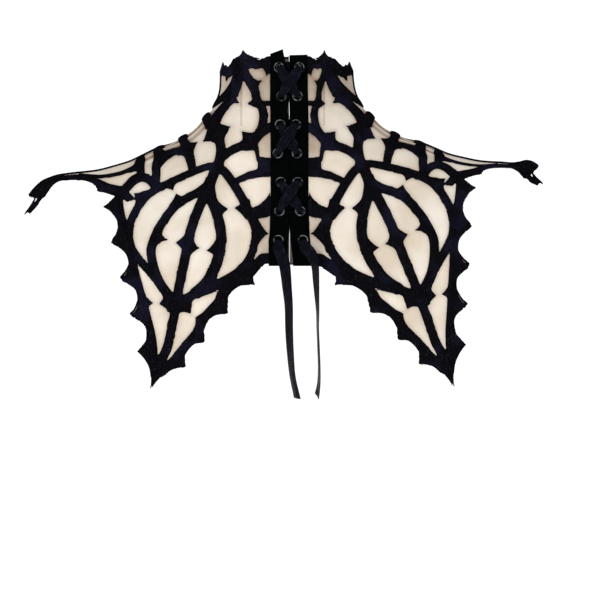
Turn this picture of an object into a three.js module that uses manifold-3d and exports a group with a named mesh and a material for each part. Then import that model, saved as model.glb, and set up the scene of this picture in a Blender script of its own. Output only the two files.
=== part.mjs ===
// Embroidered bib collar: a high laced collar of black satin stitch tracery on a nude net ground.
// Millimetres, +Z up. The laced centre back faces -Y, the wearer's right hand side as seen from behind is +X,
// and the origin is on the neck's axis at the height where the neck band turns out into the shoulders.
import * as THREE from 'three';
import { mergeVertices } from 'three/addons/utils/BufferGeometryUtils.js';
import Module from 'manifold-3d';

const wasm = await Module();
wasm.setup();

// Driving dimensions
const NET = { inner: -1.4, thickness: 1.1, sag: 0.7, hemMargin: 0.6, edgeTuck: 0.9 };
const SATIN = { inner: 1.4, thickness: 1.5, sag: 0.5 };
const PLACKET = { inner: -0.6, thickness: 2.8, sag: 0.35, gap: 0.5, bottom: -90.5, steps: 8 };
const FRONT_BAND = { halfWidth: 8, top: 74, bottom: -88.5 };
const SEAM_GAP = 0.3;
const HOLE_ROOM = 0.5;
const HOLE_SIDES = 8;
const EYELET = { firstZ: 64.6, pitch: 22.6, bore: 2.5, flange: 4.5, thick: 1.1, sides: 9 };
const RIBBON = { width: 9.5, gathered: 3.8, thickness: 0.8, gatheredThickness: 1.4 };
const SCALLOP_STEPS = 3;
const RIB_STEP = 11;
const FLAT_SCALE = 100;
const TOLERANCE = 0.75;
const SMALLEST_GAP = 12;
const SLIT = 0.7;
const MERGE = 1e-4;
const LEAST_AREA = 1e-4;
const MOST_SWAPS = 12;

// The surface that the cloth lies on, as rings from the top of the neck down over the shoulders. Each ring
// passes over the shoulder line at (halfWidth, sideZ) and the centre back at (halfDepth, backZ).
const RINGS = [
  { halfWidth: 49.5, sideZ: 84, halfDepth: 51, backZ: 84 },
  { halfWidth: 50.5, sideZ: 64, halfDepth: 52, backZ: 62 },
  { halfWidth: 52, sideZ: 47, halfDepth: 54, backZ: 42 },
  { halfWidth: 56, sideZ: 37, halfDepth: 57, backZ: 26 },
  { halfWidth: 62, sideZ: 28.5, halfDepth: 60.5, backZ: 12 },
  { halfWidth: 71, sideZ: 20, halfDepth: 64, backZ: -2 },
  { halfWidth: 84, sideZ: 10.5, halfDepth: 69, backZ: -20 },
  { halfWidth: 102, sideZ: 2.8, halfDepth: 75.5, backZ: -41 },
  { halfWidth: 124, sideZ: -5.5, halfDepth: 83, backZ: -66 },
  { halfWidth: 148, sideZ: -12.3, halfDepth: 91, backZ: -95 },
  { halfWidth: 172, sideZ: -14.8, halfDepth: 98.5, backZ: -128 },
  { halfWidth: 190, sideZ: -18, halfDepth: 104, backZ: -160 },
  { halfWidth: 200, sideZ: -28, halfDepth: 108, backZ: -192 },
  { halfWidth: 205, sideZ: -46, halfDepth: 111, backZ: -224 },
  { halfWidth: 209, sideZ: -80, halfDepth: 113, backZ: -262 },
];

// How the collar sits on the shoulders: the neck leans and twists, the wings hang a little to one side, one
// shoulder is carried lower than the other, and the laced edges stand apart at the bottom. Each zone gives
// the two distances between which a shift comes in.
const WORN = {
  neckLean: -0.038,
  neckTwist: -2.7,
  wingShift: 10,
  shoulderShift: -4.7,
  topShift: -0.4,
  leftSpread: -1,
  rightSpread: 2.8,
  tilt: 12,
  tiltPower: 1.4,
  halfSpan: 204,
  ridgeShare: 0.45,
  tiltFoot: -190,
  tiltRise: 150,
  tiltRisePower: 0.6,
};
const ZONES = {
  besideCentre: [12, 40],
  neckBack: [12, 30],
  neckSide: [30, 52],
  neckHeight: [5, 55],
  wing: [30, 175],
  shoulderEnd: [150, 200],
  shoulder: [30, 100],
  top: [10, 50],
  leftFoot: [62, 72],
  rightFoot: [60, 92],
  offRidge: [10, 45],
  outerRidge: [175, 204],
};

// Embroidered ribs, each a smooth line through its points with a width at each end. A point is (x, z) in the
// back view, (distance along the shoulder line from the neck's top, distance behind it) in the shoulder view
// and (distance behind the neck's axis, z) in the side view. Each row makes a rib on the back and its mirror
// image on the front, unless it says that it is only on one of them or is whole across the shoulder line.
const RIBS = [
  { name: 'hem_lower', view: 'back', widths: [8, 7], path: [[-2, -84.5], [15, -84.5], [22, -85.5],
    [27, -89], [34, -95], [47, -102.5], [56, -109], [62, -118.5], [69, -125], [77, -131.5], [80.5, -139],
    [87, -146.5], [94, -154], [101, -163], [110, -173], [117, -182]] },
  { name: 'hem_outer', view: 'back', widths: [5, 6.5], path: [[118, -183], [115.3, -166], [115.5, -152],
    [117, -139], [119, -126], [121, -113], [123, -101], [124.2, -90], [125.6, -79], [127.2, -67],
    [129.6, -55], [131.9, -44], [133.2, -35], [133.6, -27]] },
  { name: 'hem_shoulder', view: 'shoulder', widths: [6.5, 5], only: 'back', path: [[152, 47], [151.5, 38],
    [158, 31], [163, 24], [171, 15], [181, 12.5], [191, 12.5], [200, 15], [208, 16.5], [217, 12.5]] },
  { name: 'hem_front', view: 'shoulder', widths: [6.5, 6], only: 'front', path: [[152, 47], [151.5, 38],
    [158, 31], [163, 24], [171, 15], [181, 11], [191, 8], [200, 2]] },
  { name: 'hem_top', view: 'back', widths: [6.5, 6.5], path: [[-2, 71.5], [15, 70.2], [22, 67.1],
    [27, 67.2], [33, 70.5]] },
  { name: 'hem_neck', view: 'side', widths: [6.5, 6.5], path: [[40, 70.5], [33, 66], [22, 61.5],
    [10, 62.5], [-1, 61]] },
  { name: 'ring_inner', view: 'back', widths: [7, 7.5], path: [[57, -13], [51.5, -16], [44.3, -25.5],
    [36.3, -39], [30.8, -51.5], [27, -64], [29.5, -77], [35.3, -87.2], [45, -96.2], [56.7, -102.5],
    [68, -107.5], [80, -111], [94, -118]] },
  { name: 'arch_inner', view: 'back', widths: [7.5, 9], path: [[57, -13], [61.5, -25], [61, -35],
    [58, -47], [55.2, -58], [55, -69], [58, -82], [63, -93], [70, -103], [80, -111]] },
  { name: 'midrib', view: 'back', widths: [8, 7], path: [[57, -13], [62, -25], [68.1, -38], [74.6, -52],
    [79.8, -66], [83.7, -80], [88, -94], [92.3, -108], [97, -122], [101, -136], [105, -150], [110.5, -164],
    [117, -180]] },
  { name: 'arch_outer', view: 'back', widths: [6.5, 7.5], path: [[57, -13], [62.5, -24.5], [70.5, -31],
    [80.9, -35.6], [89.9, -41.1], [98.9, -51.6], [105.4, -62.1], [109.9, -73.5], [109.5, -86],
    [106.5, -98], [102, -108], [95, -119]] },
  { name: 'ring_outer', view: 'back', widths: [5.5, 7], path: [[51, -11], [66, -12.6], [84, -18.2],
    [97, -23.2], [110.5, -30.3], [121, -43.5], [126, -57], [125, -71], [118.5, -83], [111, -93],
    [105, -102], [97, -114]] },
  { name: 'lower_hub', view: 'back', widths: [10, 10], path: [[88, -115.5], [96, -119], [102, -117.5]] },
  { name: 'yoke', view: 'back', widths: [7, 6.5], path: [[3, 22.5], [15, 17.8], [20, 14.6], [27, 9.3],
    [34.5, 4.2], [43, 0.8], [51, -4.2], [57, -12]] },
  { name: 'yoke_drop', view: 'back', widths: [5, 1.5], path: [[27, 6], [25.6, 0], [25.1, -4.5],
    [24.6, -9]] },
  { name: 'yoke_web', view: 'back', widths: [4.5, 4.5], path: [[25, 2], [30, 1.8], [37, 1.5]] },
  { name: 'yoke_block', view: 'back', widths: [10.5, 9], path: [[3, -11], [14, -11], [24.3, -10.2]] },
  { name: 'yoke_low', view: 'back', widths: [9, 4.5], path: [[3, -16.5], [15, -17], [24, -18.3],
    [33, -20.7], [43, -25]] },
  { name: 'ring_tie', view: 'back', widths: [17, 8], path: [[3, -43.5], [15, -45], [22, -48],
    [30, -50.5]] },
  { name: 'neck_tie', view: 'back', widths: [4, 4], path: [[3, 37], [15, 36.5], [22, 36.5]] },
  { name: 'neck_rise', view: 'back', widths: [5, 6.8], path: [[31.6, 68], [30.2, 60], [27.2, 53.5],
    [24.7, 46], [23.9, 40.5], [20.5, 33], [19.7, 25], [21.8, 16], [27, 7]] },
  { name: 'neck_arch', view: 'back', widths: [5, 7.5], path: [[32.3, 66], [35, 54], [39, 45], [43.5, 39.3],
    [48, 35.2], [53, 29.5], [57, 22]] },
  { name: 'neck_cross', view: 'side', widths: [7.5, 8.5], path: [[38, 64.2], [32.5, 52], [24, 44.5],
    [13, 39.5], [-1, 37]] },
  { name: 'neck_side', view: 'side', widths: [5, 5], whole: true, path: [[0, 63], [0, 39]] },
  { name: 'neck_root', view: 'back', widths: [6.5, 9], path: [[57, -13], [54, -4], [53.3, 3], [55, 11],
    [58, 19], [62, 25.5]] },
  { name: 'root_over', view: 'shoulder', widths: [8, 9], path: [[66, 27], [62, 13], [60.5, -1]] },
  { name: 'dome_side', view: 'back', widths: [5.5, 9], path: [[75.5, -15], [76.4, -9], [78, -3],
    [80, 4]] },
  { name: 'dome_over', view: 'shoulder', widths: [6, 9], path: [[92, 31], [87, 15], [85, -1]] },
  { name: 'dome_top', view: 'back', widths: [5, 5], path: [[79, 3.8], [86, 1.8], [93, 0.3], [102, -2.5]] },
  { name: 'cap_back', view: 'back', widths: [6, 7], path: [[104.5, -24], [104, -15], [103.8, -8],
    [101, -3]] },
  { name: 'cap_over', view: 'shoulder', widths: [6, 10], path: [[113, 26], [108, 11], [105, -1]] },
  { name: 'tip_over', view: 'shoulder', widths: [5, 5.5], path: [[132.5, 33], [127.5, 25], [124, 18],
    [122, 8], [121, -1]] },
  { name: 'cap_arch', view: 'back', widths: [6, 7], path: [[104.5, -24.3], [109.6, -18.8], [115.5, -16.4],
    [121.3, -18.6], [126, -22.5], [131, -27.5]] },
  { name: 'ridge', view: 'shoulder', widths: [3.4, 7.4], whole: true, path: [[88, 0], [120, 0], [150, 0],
    [203, 0]] },
  { name: 'tip_branch', view: 'shoulder', widths: [4.5, 4], path: [[125.5, 20], [140, 22.5], [149, 21.5],
    [160, 18.5], [172, 11]] },
];

// Thorns that point into the gaps, each from a rib's edge to its tip.
const THORNS = [
  { view: 'back', from: [30.5, 8], tip: [36.8, 15], base: 17 },
  { view: 'back', from: [53.5, 15.4], tip: [44.5, 18.7], base: 16 },
  { view: 'back', from: [24.4, 37], tip: [31, 36], base: 9 },
  { view: 'back', from: [41.4, 40.3], tip: [35.6, 36], base: 8 },
  { view: 'back', from: [15.5, 65], tip: [17.3, 57.5], base: 11 },
  { view: 'back', from: [27, 51.5], tip: [19.6, 54.6], base: 11 },
  { view: 'back', from: [59, 12.5], tip: [67.5, 7.5], base: 15 },
  { view: 'back', from: [79.5, 2.5], tip: [71.5, 7.8], base: 14 },
  { view: 'back', from: [34, -46.3], tip: [44, -45.3], base: 16 },
  { view: 'back', from: [56.3, -46.3], tip: [47.5, -45.8], base: 16 },
  { view: 'back', from: [58.2, -77], tip: [67.6, -77.6], base: 16 },
  { view: 'back', from: [80.3, -73.4], tip: [71.8, -75.6], base: 16 },
  { view: 'back', from: [83.2, -70.4], tip: [91.3, -69.2], base: 15 },
  { view: 'back', from: [105.8, -64.4], tip: [96.7, -66.5], base: 15 },
  { view: 'back', from: [86.5, -37.5], tip: [88.6, -30.4], base: 16 },
  { view: 'back', from: [93.2, -22.8], tip: [90.6, -28.4], base: 12 },
  { view: 'back', from: [102.5, -115.4], tip: [109.6, -116], base: 15 },
  { view: 'back', from: [121, -114.6], tip: [113.2, -115], base: 16 },
  { view: 'back', from: [88.5, -118.8], tip: [84.6, -125.8], base: 16 },
  { view: 'back', from: [77, -132], tip: [82, -127.3], base: 16 },
  { view: 'back', from: [26, -65], tip: [16.2, -65.6], base: 24 },
  { view: 'back', from: [115.5, -32.5], tip: [121.8, -28], base: 15 },
  { view: 'back', from: [79, 1], tip: [87, -1.5], base: 12 },
  { view: 'back', from: [100, -3], tip: [91.5, -2.5], base: 12 },
  { view: 'back', from: [117.5, -9], tip: [126, -13.5], base: 10 },
  { view: 'side', from: [25, 62], tip: [21, 53.5], base: 15 },
];

// The thorned outer edge, as runs of spike tips joined by hollow arcs. The bow of an arc is its depth as a
// share of its chord, and inside is the rib line that each run is filled back to.
const EDGES = [
  { name: 'edge_lower', view: 'back', inside: 'hem_lower', from: 0.1, to: 1, tips: [
    { at: [20.5, -88.6], bow: 0.33 }, { at: [31.2, -105.7], bow: 0.31 }, { at: [56, -127.7], bow: 0.33 },
    { at: [75, -148.6], bow: 0.33 }, { at: [91, -167.6], bow: 0.14 }, { at: [118.6, -186.4], bow: 0 }] },
  { name: 'edge_outer', view: 'back', inside: 'hem_outer', from: 0, to: 0.96, tips: [
    { at: [118.6, -186.4], bow: 0.14 }, { at: [128, -154.5], bow: 0.33 }, { at: [131.8, -125], bow: 0.33 },
    { at: [136.8, -95.6], bow: 0.34 }, { at: [141.3, -66], bow: 0.3 }, { at: [145.8, -37], bow: 0.05 },
    { at: [136.2, -29.5], bow: 0 }] },
  { name: 'edge_shoulder', view: 'shoulder', inside: 'hem_shoulder', from: 0.04, to: 0.97, turned: true,
    only: 'back', tips: [
      { at: [157.5, 42], bow: 0.08 }, { at: [167, 33.5], bow: 0.22 }, { at: [172.5, 20.5], bow: 0.05 },
      { at: [192, 16.5], bow: 0.03 }, { at: [201, 20.5], bow: 0.03 }, { at: [218, 15.5], bow: 0.05 },
      { at: [221.5, 7], bow: 0.1 }, { at: [200, 9.5], bow: 0 }] },
  { name: 'edge_front', view: 'shoulder', inside: 'hem_front', from: 0.04, to: 1, turned: true,
    only: 'front', tips: [
      { at: [157.5, 42], bow: 0.08 }, { at: [166, 32], bow: 0.22 }, { at: [173, 19], bow: 0.1 },
      { at: [190, 13], bow: 0.1 }, { at: [202.5, 1], bow: 0 }] },
  { name: 'edge_neck', view: 'side', inside: 'hem_neck', from: 0, to: 1, tips: [
    { at: [48.5, 71], bow: 0.14 }, { at: [38.6, 82.5], bow: 0.3 }, { at: [32, 71.8], bow: 0.28 },
    { at: [12.5, 69.8], bow: 0.1 }, { at: [-1, 64.6], bow: 0 }] },
];

// The shoulder line's part of the net
const RIDGE = { top: 18, end: 203, overlap: 0.02 };

// The plackets in the back view. Each row is a place on an edge at a height, and a top runs straight from its
// laced corner to its outer corner.
const PLACKET_FAR = [{ z: -90.5, x: 15.4 }, { z: -60, x: 15.4 }, { z: -40, x: 14.7 }, { z: 35, x: 14.7 },
  { z: 80, x: 14.3 }];
const PLACKET_SIDES = {
  left: {
    near: [{ z: -90.5, x: 0.2 }, { z: 20, x: 0.2 }, { z: 28, x: 1.3 }, { z: 45, x: 1.3 }, { z: 67, x: 2.6 },
      { z: 79, x: 4.7 }],
    topNear: 79,
    topFar: 75.4,
  },
  right: {
    near: [{ z: -90.5, x: 0.2 }, { z: 22, x: 0.2 }, { z: 30, x: 0.4 }, { z: 80, x: 0.4 }],
    topNear: 74.3,
    topFar: 74.7,
  },
};

// Each row of eyelets, with the distance of its left and right eyelet from the centre line
const EYELET_ROWS = [
  { left: 7.5, right: 7.65 },
  { left: 5.6, right: 6.2 },
  { left: 7, right: 4.9 },
  { left: 8.9, right: 5.6 },
  { left: 6.8, right: 6.3 },
  { left: 7.8, right: 8.3 },
  { left: 7.7, right: 9.8 },
];

// Smooth reading of the ring table at a distance v along the shoulder line
const COLUMNS = ['halfWidth', 'sideZ', 'halfDepth', 'backZ'];
const STATIONS = [0];
for (let i = 1; i < RINGS.length; i++) {
  const across = RINGS[i].halfWidth - RINGS[i - 1].halfWidth;
  const down = RINGS[i].sideZ - RINGS[i - 1].sideZ;
  STATIONS.push(STATIONS[i - 1] + Math.hypot(across, down));
}
const LAST = RINGS.length - 1;

function slope(column, i) {
  const a = Math.max(i - 1, 0);
  const b = Math.min(i + 1, LAST);
  return (RINGS[b][column] - RINGS[a][column]) / (STATIONS[b] - STATIONS[a]);
}

function ring(v) {
  const at = THREE.MathUtils.clamp(v, 0, STATIONS[LAST] - 1e-6);
  let i = 0;
  while (STATIONS[i + 1] <= at) i++;
  const span = STATIONS[i + 1] - STATIONS[i];
  const s = (at - STATIONS[i]) / span;
  const result = {};
  for (const column of COLUMNS) {
    const [a, b] = [RINGS[i][column], RINGS[i + 1][column]];
    const start = a * (1 + 2 * s) * (1 - s) ** 2 + slope(column, i) * span * s * (1 - s) ** 2;
    const end = b * s * s * (3 - 2 * s) + slope(column, i + 1) * span * s * s * (s - 1);
    result[column] = start + end;
  }
  return result;
}

// A point of the surface: turn is 0 at the centre back, a right angle on the shoulder line, pi at the front
function surface(turn, v) {
  const r = ring(v);
  const s = Math.sin(turn);
  const z = THREE.MathUtils.lerp(r.backZ, r.sideZ, s * s);
  return new THREE.Vector3(r.halfWidth * s, -r.halfDepth * Math.cos(turn), z);
}

function raised(turn, v, height) {
  const step = 0.01;
  const acrossStep = surface(turn + step, v).sub(surface(turn - step, v));
  const downStep = surface(turn, v + 1).sub(surface(turn, v - 1));
  const normal = downStep.cross(acrossStep).normalize();
  return surface(turn, v).addScaledVector(normal, height);
}

// Moves a point of the even shape to where the worn collar has it
function worn(p) {
  const { smoothstep, clamp, lerp } = THREE.MathUtils;
  const zone = (value, name) => smoothstep(value, ...ZONES[name]);
  const out = Math.abs(p.x);
  const lean = p.z > 0 ? WORN.neckLean * p.z : WORN.wingShift * zone(-p.z, 'wing');
  const besideNeck = zone(out, 'neckBack') * (1 - zone(out, 'neckSide'));
  const twist = WORN.neckTwist * besideNeck * zone(p.z, 'neckHeight');
  const sideShift = lean + twist + WORN.shoulderShift * zone(out, 'shoulderEnd');
  const [spread, foot] = p.x > 0 ? [WORN.rightSpread, 'rightFoot'] : [WORN.leftSpread, 'leftFoot'];
  const nearShift = WORN.topShift * zone(p.z, 'top') + (p.y < 0 ? spread * zone(-p.z, foot) : 0);
  const offRidge = Math.max(zone(Math.abs(p.y), 'offRidge'), zone(out, 'outerRidge'));
  const reach = Math.sign(p.x) * (out / WORN.halfSpan) ** WORN.tiltPower * zone(out, 'shoulder');
  const climb = clamp((p.z - WORN.tiltFoot) / WORN.tiltRise, 0, 1) ** WORN.tiltRisePower;
  const tilt = WORN.tilt * reach * lerp(WORN.ridgeShare, 1, offRidge) * climb;
  return new THREE.Vector3(p.x + lerp(nearShift, sideShift, zone(out, 'besideCentre')), p.y, p.z + tilt);
}

// Finds v where a falling function of v crosses zero
function crossing(f, low, high) {
  for (let i = 0; i < 40; i++) {
    const middle = (low + high) / 2;
    if (f(middle) > 0) low = middle;
    else high = middle;
  }
  return (low + high) / 2;
}

// Each view turns its own pair of measures into (turn, v)
const END = STATIONS[LAST];
const VIEWS = {
  back([x, z]) {
    const widest = crossing((v) => Math.abs(x) - ring(v).halfWidth, 0, END);
    const v = crossing((w) => surface(Math.asin(Math.min(Math.abs(x) / ring(w).halfWidth, 1)), w).z - z,
      Math.abs(x) > RINGS[0].halfWidth ? widest : 0, END);
    return [Math.asin(THREE.MathUtils.clamp(x / ring(v).halfWidth, -1, 1)), v];
  },
  shoulder([v, behind]) {
    return [Math.acos(behind / ring(v).halfDepth), v];
  },
  side([behind, z]) {
    const turn = (v) => Math.acos(THREE.MathUtils.clamp(behind / ring(v).halfDepth, -1, 1));
    const v = crossing((w) => surface(turn(w), w).z - z, 0, END);
    return [turn(v), v];
  },
  flat: (place) => place,
};

// Flat drawing: the pieces are joined and cut as thin plates in the plane of (turn, v), then laid on the
// bust
function plate(points, mirrored) {
  const turned = (turn) => (mirrored ? Math.PI - turn : turn);
  const flat = points.map(([turn, v]) => new THREE.Vector2(turned(turn) * FLAT_SCALE, v));
  const shape = new THREE.Shape(anticlockwise(flat));
  return toManifold(new THREE.ExtrudeGeometry(shape, { depth: 1, bevelEnabled: false }));
}

function anticlockwise(points) {
  return THREE.ShapeUtils.isClockWise(points) ? points.reverse() : points;
}

function toManifold(geometry) {
  geometry.deleteAttribute('normal');
  geometry.deleteAttribute('uv');
  const merged = mergeVertices(geometry, MERGE);
  return new wasm.Manifold(new wasm.Mesh({
    numProp: 3,
    vertProperties: new Float32Array(merged.attributes.position.array),
    triVerts: new Uint32Array(merged.index.array),
  }));
}

function smoothLine(path) {
  const points = path.map(([p, q]) => new THREE.Vector3(p, q, 0));
  return new THREE.CatmullRomCurve3(points, false, 'centripetal');
}

function ribOutline(rib) {
  const line = smoothLine(rib.path);
  const steps = Math.max(1, Math.round(line.getLength() / RIB_STEP));
  const left = [];
  const right = [];
  for (let i = 0; i <= steps; i++) {
    const s = i / steps;
    const at = line.getPointAt(s);
    const along = line.getTangentAt(s);
    const half = THREE.MathUtils.lerp(rib.widths[0], rib.widths[1], s) / 2;
    left.push([at.x - along.y * half, at.y + along.x * half]);
    right.push([at.x + along.y * half, at.y - along.x * half]);
  }
  return [...left, ...right.reverse()];
}

// A thorn narrows quickly from its base, so that its sides are hollow
function thornOutline({ from, tip, base }) {
  const along = [tip[0] - from[0], tip[1] - from[1]];
  const length = Math.hypot(...along);
  const across = [-along[1] / length, along[0] / length];
  const place = (s, half) => [0, 1].map((k) => from[k] + along[k] * s + across[k] * half);
  const waist = 0.36;
  const waistHalf = 0.27 * base;
  const half = base / 2;
  return [place(0, half), place(waist, waistHalf), place(1, 0), place(waist, -waistHalf), place(0, -half)];
}

// Points of the hollow arcs that join a run's spike tips, drawn in by a share of the way to the hem's line
function edgeOutline(edge, shrink) {
  const points = [];
  edge.tips.forEach((tip, i) => {
    const next = edge.tips[i + 1];
    const [x, y] = tip.at;
    const chord = next ? [next.at[0] - x, next.at[1] - y] : [0, 0];
    const inward = edge.turned ? [chord[1], -chord[0]] : [-chord[1], chord[0]];
    const steps = !next ? 1 : tip.bow < 0.1 ? 1 : SCALLOP_STEPS;
    for (let k = 0; k < steps; k++) {
      const s = k / steps;
      const depth = tip.bow * 4 * s * (1 - s);
      points.push([x + chord[0] * s + inward[0] * depth, y + chord[1] * s + inward[1] * depth]);
    }
  });
  const hem = smoothLine(RIBS.find((rib) => rib.name === edge.inside).path);
  const count = Math.round((hem.getLength() * (edge.to - edge.from)) / RIB_STEP);
  const inner = [];
  for (let i = 0; i <= count; i++) {
    const at = hem.getPointAt(edge.from + (edge.to - edge.from) * (i / count));
    inner.push([at.x, at.y]);
  }
  const drawn = points.map((point) => {
    const nearest = inner.reduce((best, q) => (gap(q, point) < gap(best, point) ? q : best));
    const pull = Math.min(shrink / gap(nearest, point), 0.9);
    return [point[0] + (nearest[0] - point[0]) * pull, point[1] + (nearest[1] - point[1]) * pull];
  });
  return [...drawn, ...inner.reverse()];
}

function gap(a, b) {
  return Math.hypot(a[0] - b[0], a[1] - b[1]);
}

// Reads a table of places at heights, straight between its rows
function edgeAt(rows, z) {
  const next = rows.findIndex((row) => row.z >= z);
  if (next <= 0) return rows.at(next).x;
  const [a, b] = [rows[next - 1], rows[next]];
  return THREE.MathUtils.mapLinear(z, a.z, b.z, a.x, b.x);
}

// The strip of the drawing between the centre line and a line at a distance from it, at the back or the front
function centreStrip(distanceAt, mirrored) {
  const points = [];
  const count = 18;
  const beyond = 20;
  for (let i = 0; i <= count; i++) {
    const v = THREE.MathUtils.lerp(-beyond, END + beyond, i / count);
    const { halfWidth, backZ } = ring(v);
    points.push([Math.asin(distanceAt(backZ) / halfWidth), v]);
  }
  const pastCentre = -0.3;
  return plate([...points, [pastCentre, END + beyond], [pastCentre, -beyond]], mirrored);
}

// Both quarters of one half, back and front, joined from plates and cut back at the laced edge and the seam
function halfDrawing(shapes) {
  let solid = null;
  for (const mirrored of [false, true]) {
    for (const { view, points, whole, only } of shapes) {
      if (whole && mirrored) continue;
      if (only && (only === 'front') !== mirrored) continue;
      const piece = plate(points.map(VIEWS[view]), mirrored);
      solid = solid ? solid.add(piece) : piece;
    }
  }
  solid = solid.subtract(centreStrip((z) => edgeAt(PLACKET_FAR, z) + PLACKET.gap, false));
  return solid.subtract(centreStrip(() => SEAM_GAP / 2, true));
}

function tracery() {
  const ribs = RIBS.map((rib) => ({ ...rib, points: ribOutline(rib) }));
  const thorns = THORNS.map((thorn) => ({ ...thorn, points: thornOutline(thorn) }));
  const edges = EDGES.map((edge) => ({ ...edge, points: edgeOutline(edge, 0) }));
  return halfDrawing([...ribs, ...thorns, ...edges, frontBand()]);
}

function frontBand() {
  const { halfWidth, top, bottom } = FRONT_BAND;
  const points = [[0, top], [0, bottom], [halfWidth, bottom], [halfWidth, top]];
  return { view: 'back', only: 'front', points };
}

// The net fills everything within the hems and ends just inside the thorned edge
function ground() {
  const hems = RIBS.filter((rib) => rib.name.startsWith('hem_'));
  const turns = (name) => {
    const rib = hems.find((hem) => hem.name === name);
    return rib.path.map(VIEWS[rib.view]);
  };
  const pastRidge = Math.PI / 2 + RIDGE.overlap;
  const inside = (only, shoulder) => ({ view: 'flat', only, points: [
    ...turns('hem_top'), ...turns('hem_neck').slice(1), [pastRidge, RIDGE.top], [pastRidge, RIDGE.end],
    ...shoulder, ...turns('hem_outer').reverse(), ...turns('hem_lower').reverse(),
  ] });
  const fills = [
    inside('back', turns('hem_shoulder').reverse().slice(2)),
    inside('front', turns('hem_front').reverse()),
  ];
  const narrow = hems.map((hem) => ({ ...hem, widths: hem.widths.map((w) => w - 2 * NET.hemMargin) }));
  const strips = narrow.map((rib) => ({ ...rib, points: ribOutline(rib) }));
  const edges = EDGES.map((edge) => ({ ...edge, points: edgeOutline(edge, NET.edgeTuck) }));
  return halfDrawing([...fills, ...strips, ...edges]);
}

// The closed outlines of a flat solid's upper face, the outer one first
function outlines(solid) {
  const mesh = solid.getMesh();
  const corner = (i) => mesh.vertProperties.slice(i * mesh.numProp, i * mesh.numProp + 3);
  const next = new Map();
  for (let t = 0; t < mesh.triVerts.length; t += 3) {
    const triangle = [...mesh.triVerts.slice(t, t + 3)];
    if (triangle.some((i) => corner(i)[2] < 0.5)) continue;
    triangle.forEach((a, k) => {
      const b = triangle[(k + 1) % 3];
      if (next.get(b)?.has(a)) next.get(b).delete(a);
      else next.set(a, (next.get(a) ?? new Set()).add(b));
    });
  }
  const loops = [];
  for (const [first, ends] of next) {
    while (ends.size) {
      const loop = [];
      let at = first;
      do {
        const [x, y] = corner(at);
        loop.push(new THREE.Vector2(x, y));
        const following = [...next.get(at)][0];
        next.get(at).delete(following);
        at = following;
      } while (at !== first);
      loops.push(loop);
    }
  }
  return loops.sort((a, b) => Math.abs(THREE.ShapeUtils.area(b)) - Math.abs(THREE.ShapeUtils.area(a)));
}

const onBust = (p) => surface(p.x / FLAT_SCALE, p.y);

// Closes the slits of an outline, where it runs out and comes straight back to the same place
function withoutSlits(loop) {
  const kept = [...loop];
  for (let i = 0; i < kept.length; i++) {
    const back = (i + 2) % kept.length;
    if (onBust(kept[i]).distanceTo(onBust(kept[back])) > SLIT) continue;
    const slit = new Set([kept[(i + 1) % kept.length], kept[back]]);
    return withoutSlits(kept.filter((p) => !slit.has(p)));
  }
  return kept;
}

// Leaves out the points of an outline that lie within a tolerance of the line between their neighbours
function thinned(rough, tolerance) {
  const loop = withoutSlits(rough);
  const placed = loop.map(onBust);
  const at = (i) => placed[i % loop.length];
  const far = (i, j) => at(i).distanceTo(at(j));
  let opposite = 0;
  for (let i = 1; i < loop.length; i++) if (far(0, i) > far(0, opposite)) opposite = i;
  const keep = new Set([0, opposite]);
  const chord = new THREE.Line3();
  const foot = new THREE.Vector3();
  const split = (from, to) => {
    chord.set(at(from), at(to));
    let worst = 0;
    let cut = -1;
    for (let i = from + 1; i < to; i++) {
      const off = chord.closestPointToPoint(at(i), true, foot).distanceTo(at(i));
      if (off > worst) [worst, cut] = [off, i];
    }
    if (worst <= tolerance) return;
    keep.add(cut % loop.length);
    split(from, cut);
    split(cut, to);
  };
  split(0, opposite);
  split(opposite, loop.length);
  return loop.filter((_, i) => keep.has(i));
}

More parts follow.
